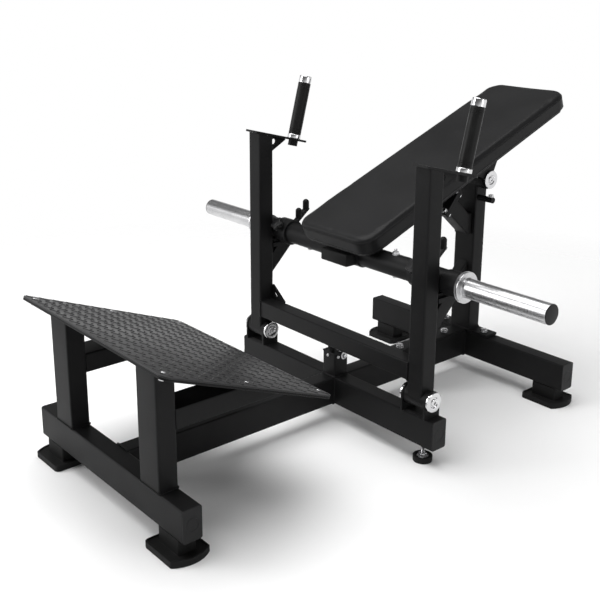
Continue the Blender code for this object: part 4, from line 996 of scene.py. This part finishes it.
# ------------------------------------------------------------------ studio
FADE_START, FADE_END = 0.9, 2.3          # radii between which the floor fades into the backdrop
LENS_MM = 56.874
CAMERA_PLACE = (1.810, -1.712, 1.215)
CAMERA_TURN, CAMERA_DIP, CAMERA_ROLL = 49.44, 15.77, 0.33


def paper_floor():
    """A white floor that fades away beyond the bench."""
    floor = bmesh.new()
    bmesh.ops.create_grid(floor, x_segments=1, y_segments=1, size=30.0)
    mesh = bpy.data.meshes.new("studio_floor")
    floor.to_mesh(mesh)
    floor.free()
    ground = bpy.data.objects.new("studio_floor", mesh)
    bpy.context.collection.objects.link(ground)
    finish = Finish("studio_paper", (0.90, 0.90, 0.90), 0.9, specular=0.1)
    finish.tint(finish.noise(3.0), (0.90, 0.90, 0.90), (0.92, 0.92, 0.92))
    reach = finish.nodes.new("ShaderNodeVectorMath")
    reach.operation = "LENGTH"
    finish.links.new(finish.place, reach.inputs[0])
    fade = finish.spread(reach.outputs["Value"], FADE_START, FADE_END, 1.0, 0.0)
    finish.links.new(fade, finish.shader.inputs["Alpha"])
    ground.data.materials.append(finish.material)


def soft_box(name, place, aim, wide, high, power):
    """A rectangular lamp at a place, turned to its aim."""
    light = bpy.data.lights.new(name, "AREA")
    light.shape = "RECTANGLE"
    light.size = wide
    light.size_y = high
    light.energy = power
    lamp = bpy.data.objects.new(name, light)
    bpy.context.collection.objects.link(lamp)
    lamp.matrix_world = facing(place, Vector(place) - Vector(aim))


def backdrop():
    """A world that is white up to the horizon and darker overhead."""
    world = bpy.data.worlds.new("studio_world")
    bpy.context.scene.world = world
    world.use_nodes = True
    nodes, links = world.node_tree.nodes, world.node_tree.links
    place = nodes.new("ShaderNodeTexCoord")
    split = nodes.new("ShaderNodeSeparateXYZ")
    ramp = nodes.new("ShaderNodeMapRange")
    ramp.interpolation_type = "SMOOTHSTEP"
    for socket, value in (("From Min", 0.06), ("From Max", 0.42), ("To Min", 1.0), ("To Max", 0.16)):
        ramp.inputs[socket].default_value = value
    links.new(place.outputs["Generated"], split.inputs["Vector"])
    links.new(split.outputs["Z"], ramp.inputs["Value"])
    links.new(ramp.outputs["Result"], nodes["Background"].inputs["Strength"])
    nodes["Background"].inputs["Color"].default_value = (1.0, 1.0, 1.0, 1.0)


def studio():
    paper_floor()
    soft_box("overhead_box", (-0.4, -0.5, 3.8), (0.0, 0.0, 0.4), 3.8, 3.8, 196.0)
    soft_box("left_box", (-2.4, -3.2, 1.9), (0.0, 0.0, 0.4), 2.0, 2.2, 62.0)
    soft_box("right_box", (3.4, 0.8, 1.7), (0.0, 0.0, 0.5), 0.8, 2.0, 14.0)
    backdrop()
    lens = bpy.data.cameras.new("bench_camera")
    lens.sensor_width = 36.0
    lens.lens = LENS_MM
    lens.shift_y = -0.1
    lens.clip_end = 60.0
    camera = bpy.data.objects.new("bench_camera", lens)
    bpy.context.collection.objects.link(camera)
    turn = Matrix.Rotation(math.radians(CAMERA_TURN), 4, "Z")
    dip = Matrix.Rotation(math.radians(90 - CAMERA_DIP), 4, "X")
    roll = Matrix.Rotation(math.radians(CAMERA_ROLL), 4, "Z")
    camera.matrix_world = Matrix.Translation(CAMERA_PLACE) @ turn @ dip @ roll
    bpy.context.scene.camera = camera
    bpy.context.scene.view_settings.view_transform = "Standard"


studio()
tread_mat()
deck_plate()
weight_bar()
pivots()
handles()
belt_collars()
levelling_feet()
column_fasteners()
stop_bolts()
bar_bolts()
flange_bolts()
plug_rings()
welds()
piping(cushion())
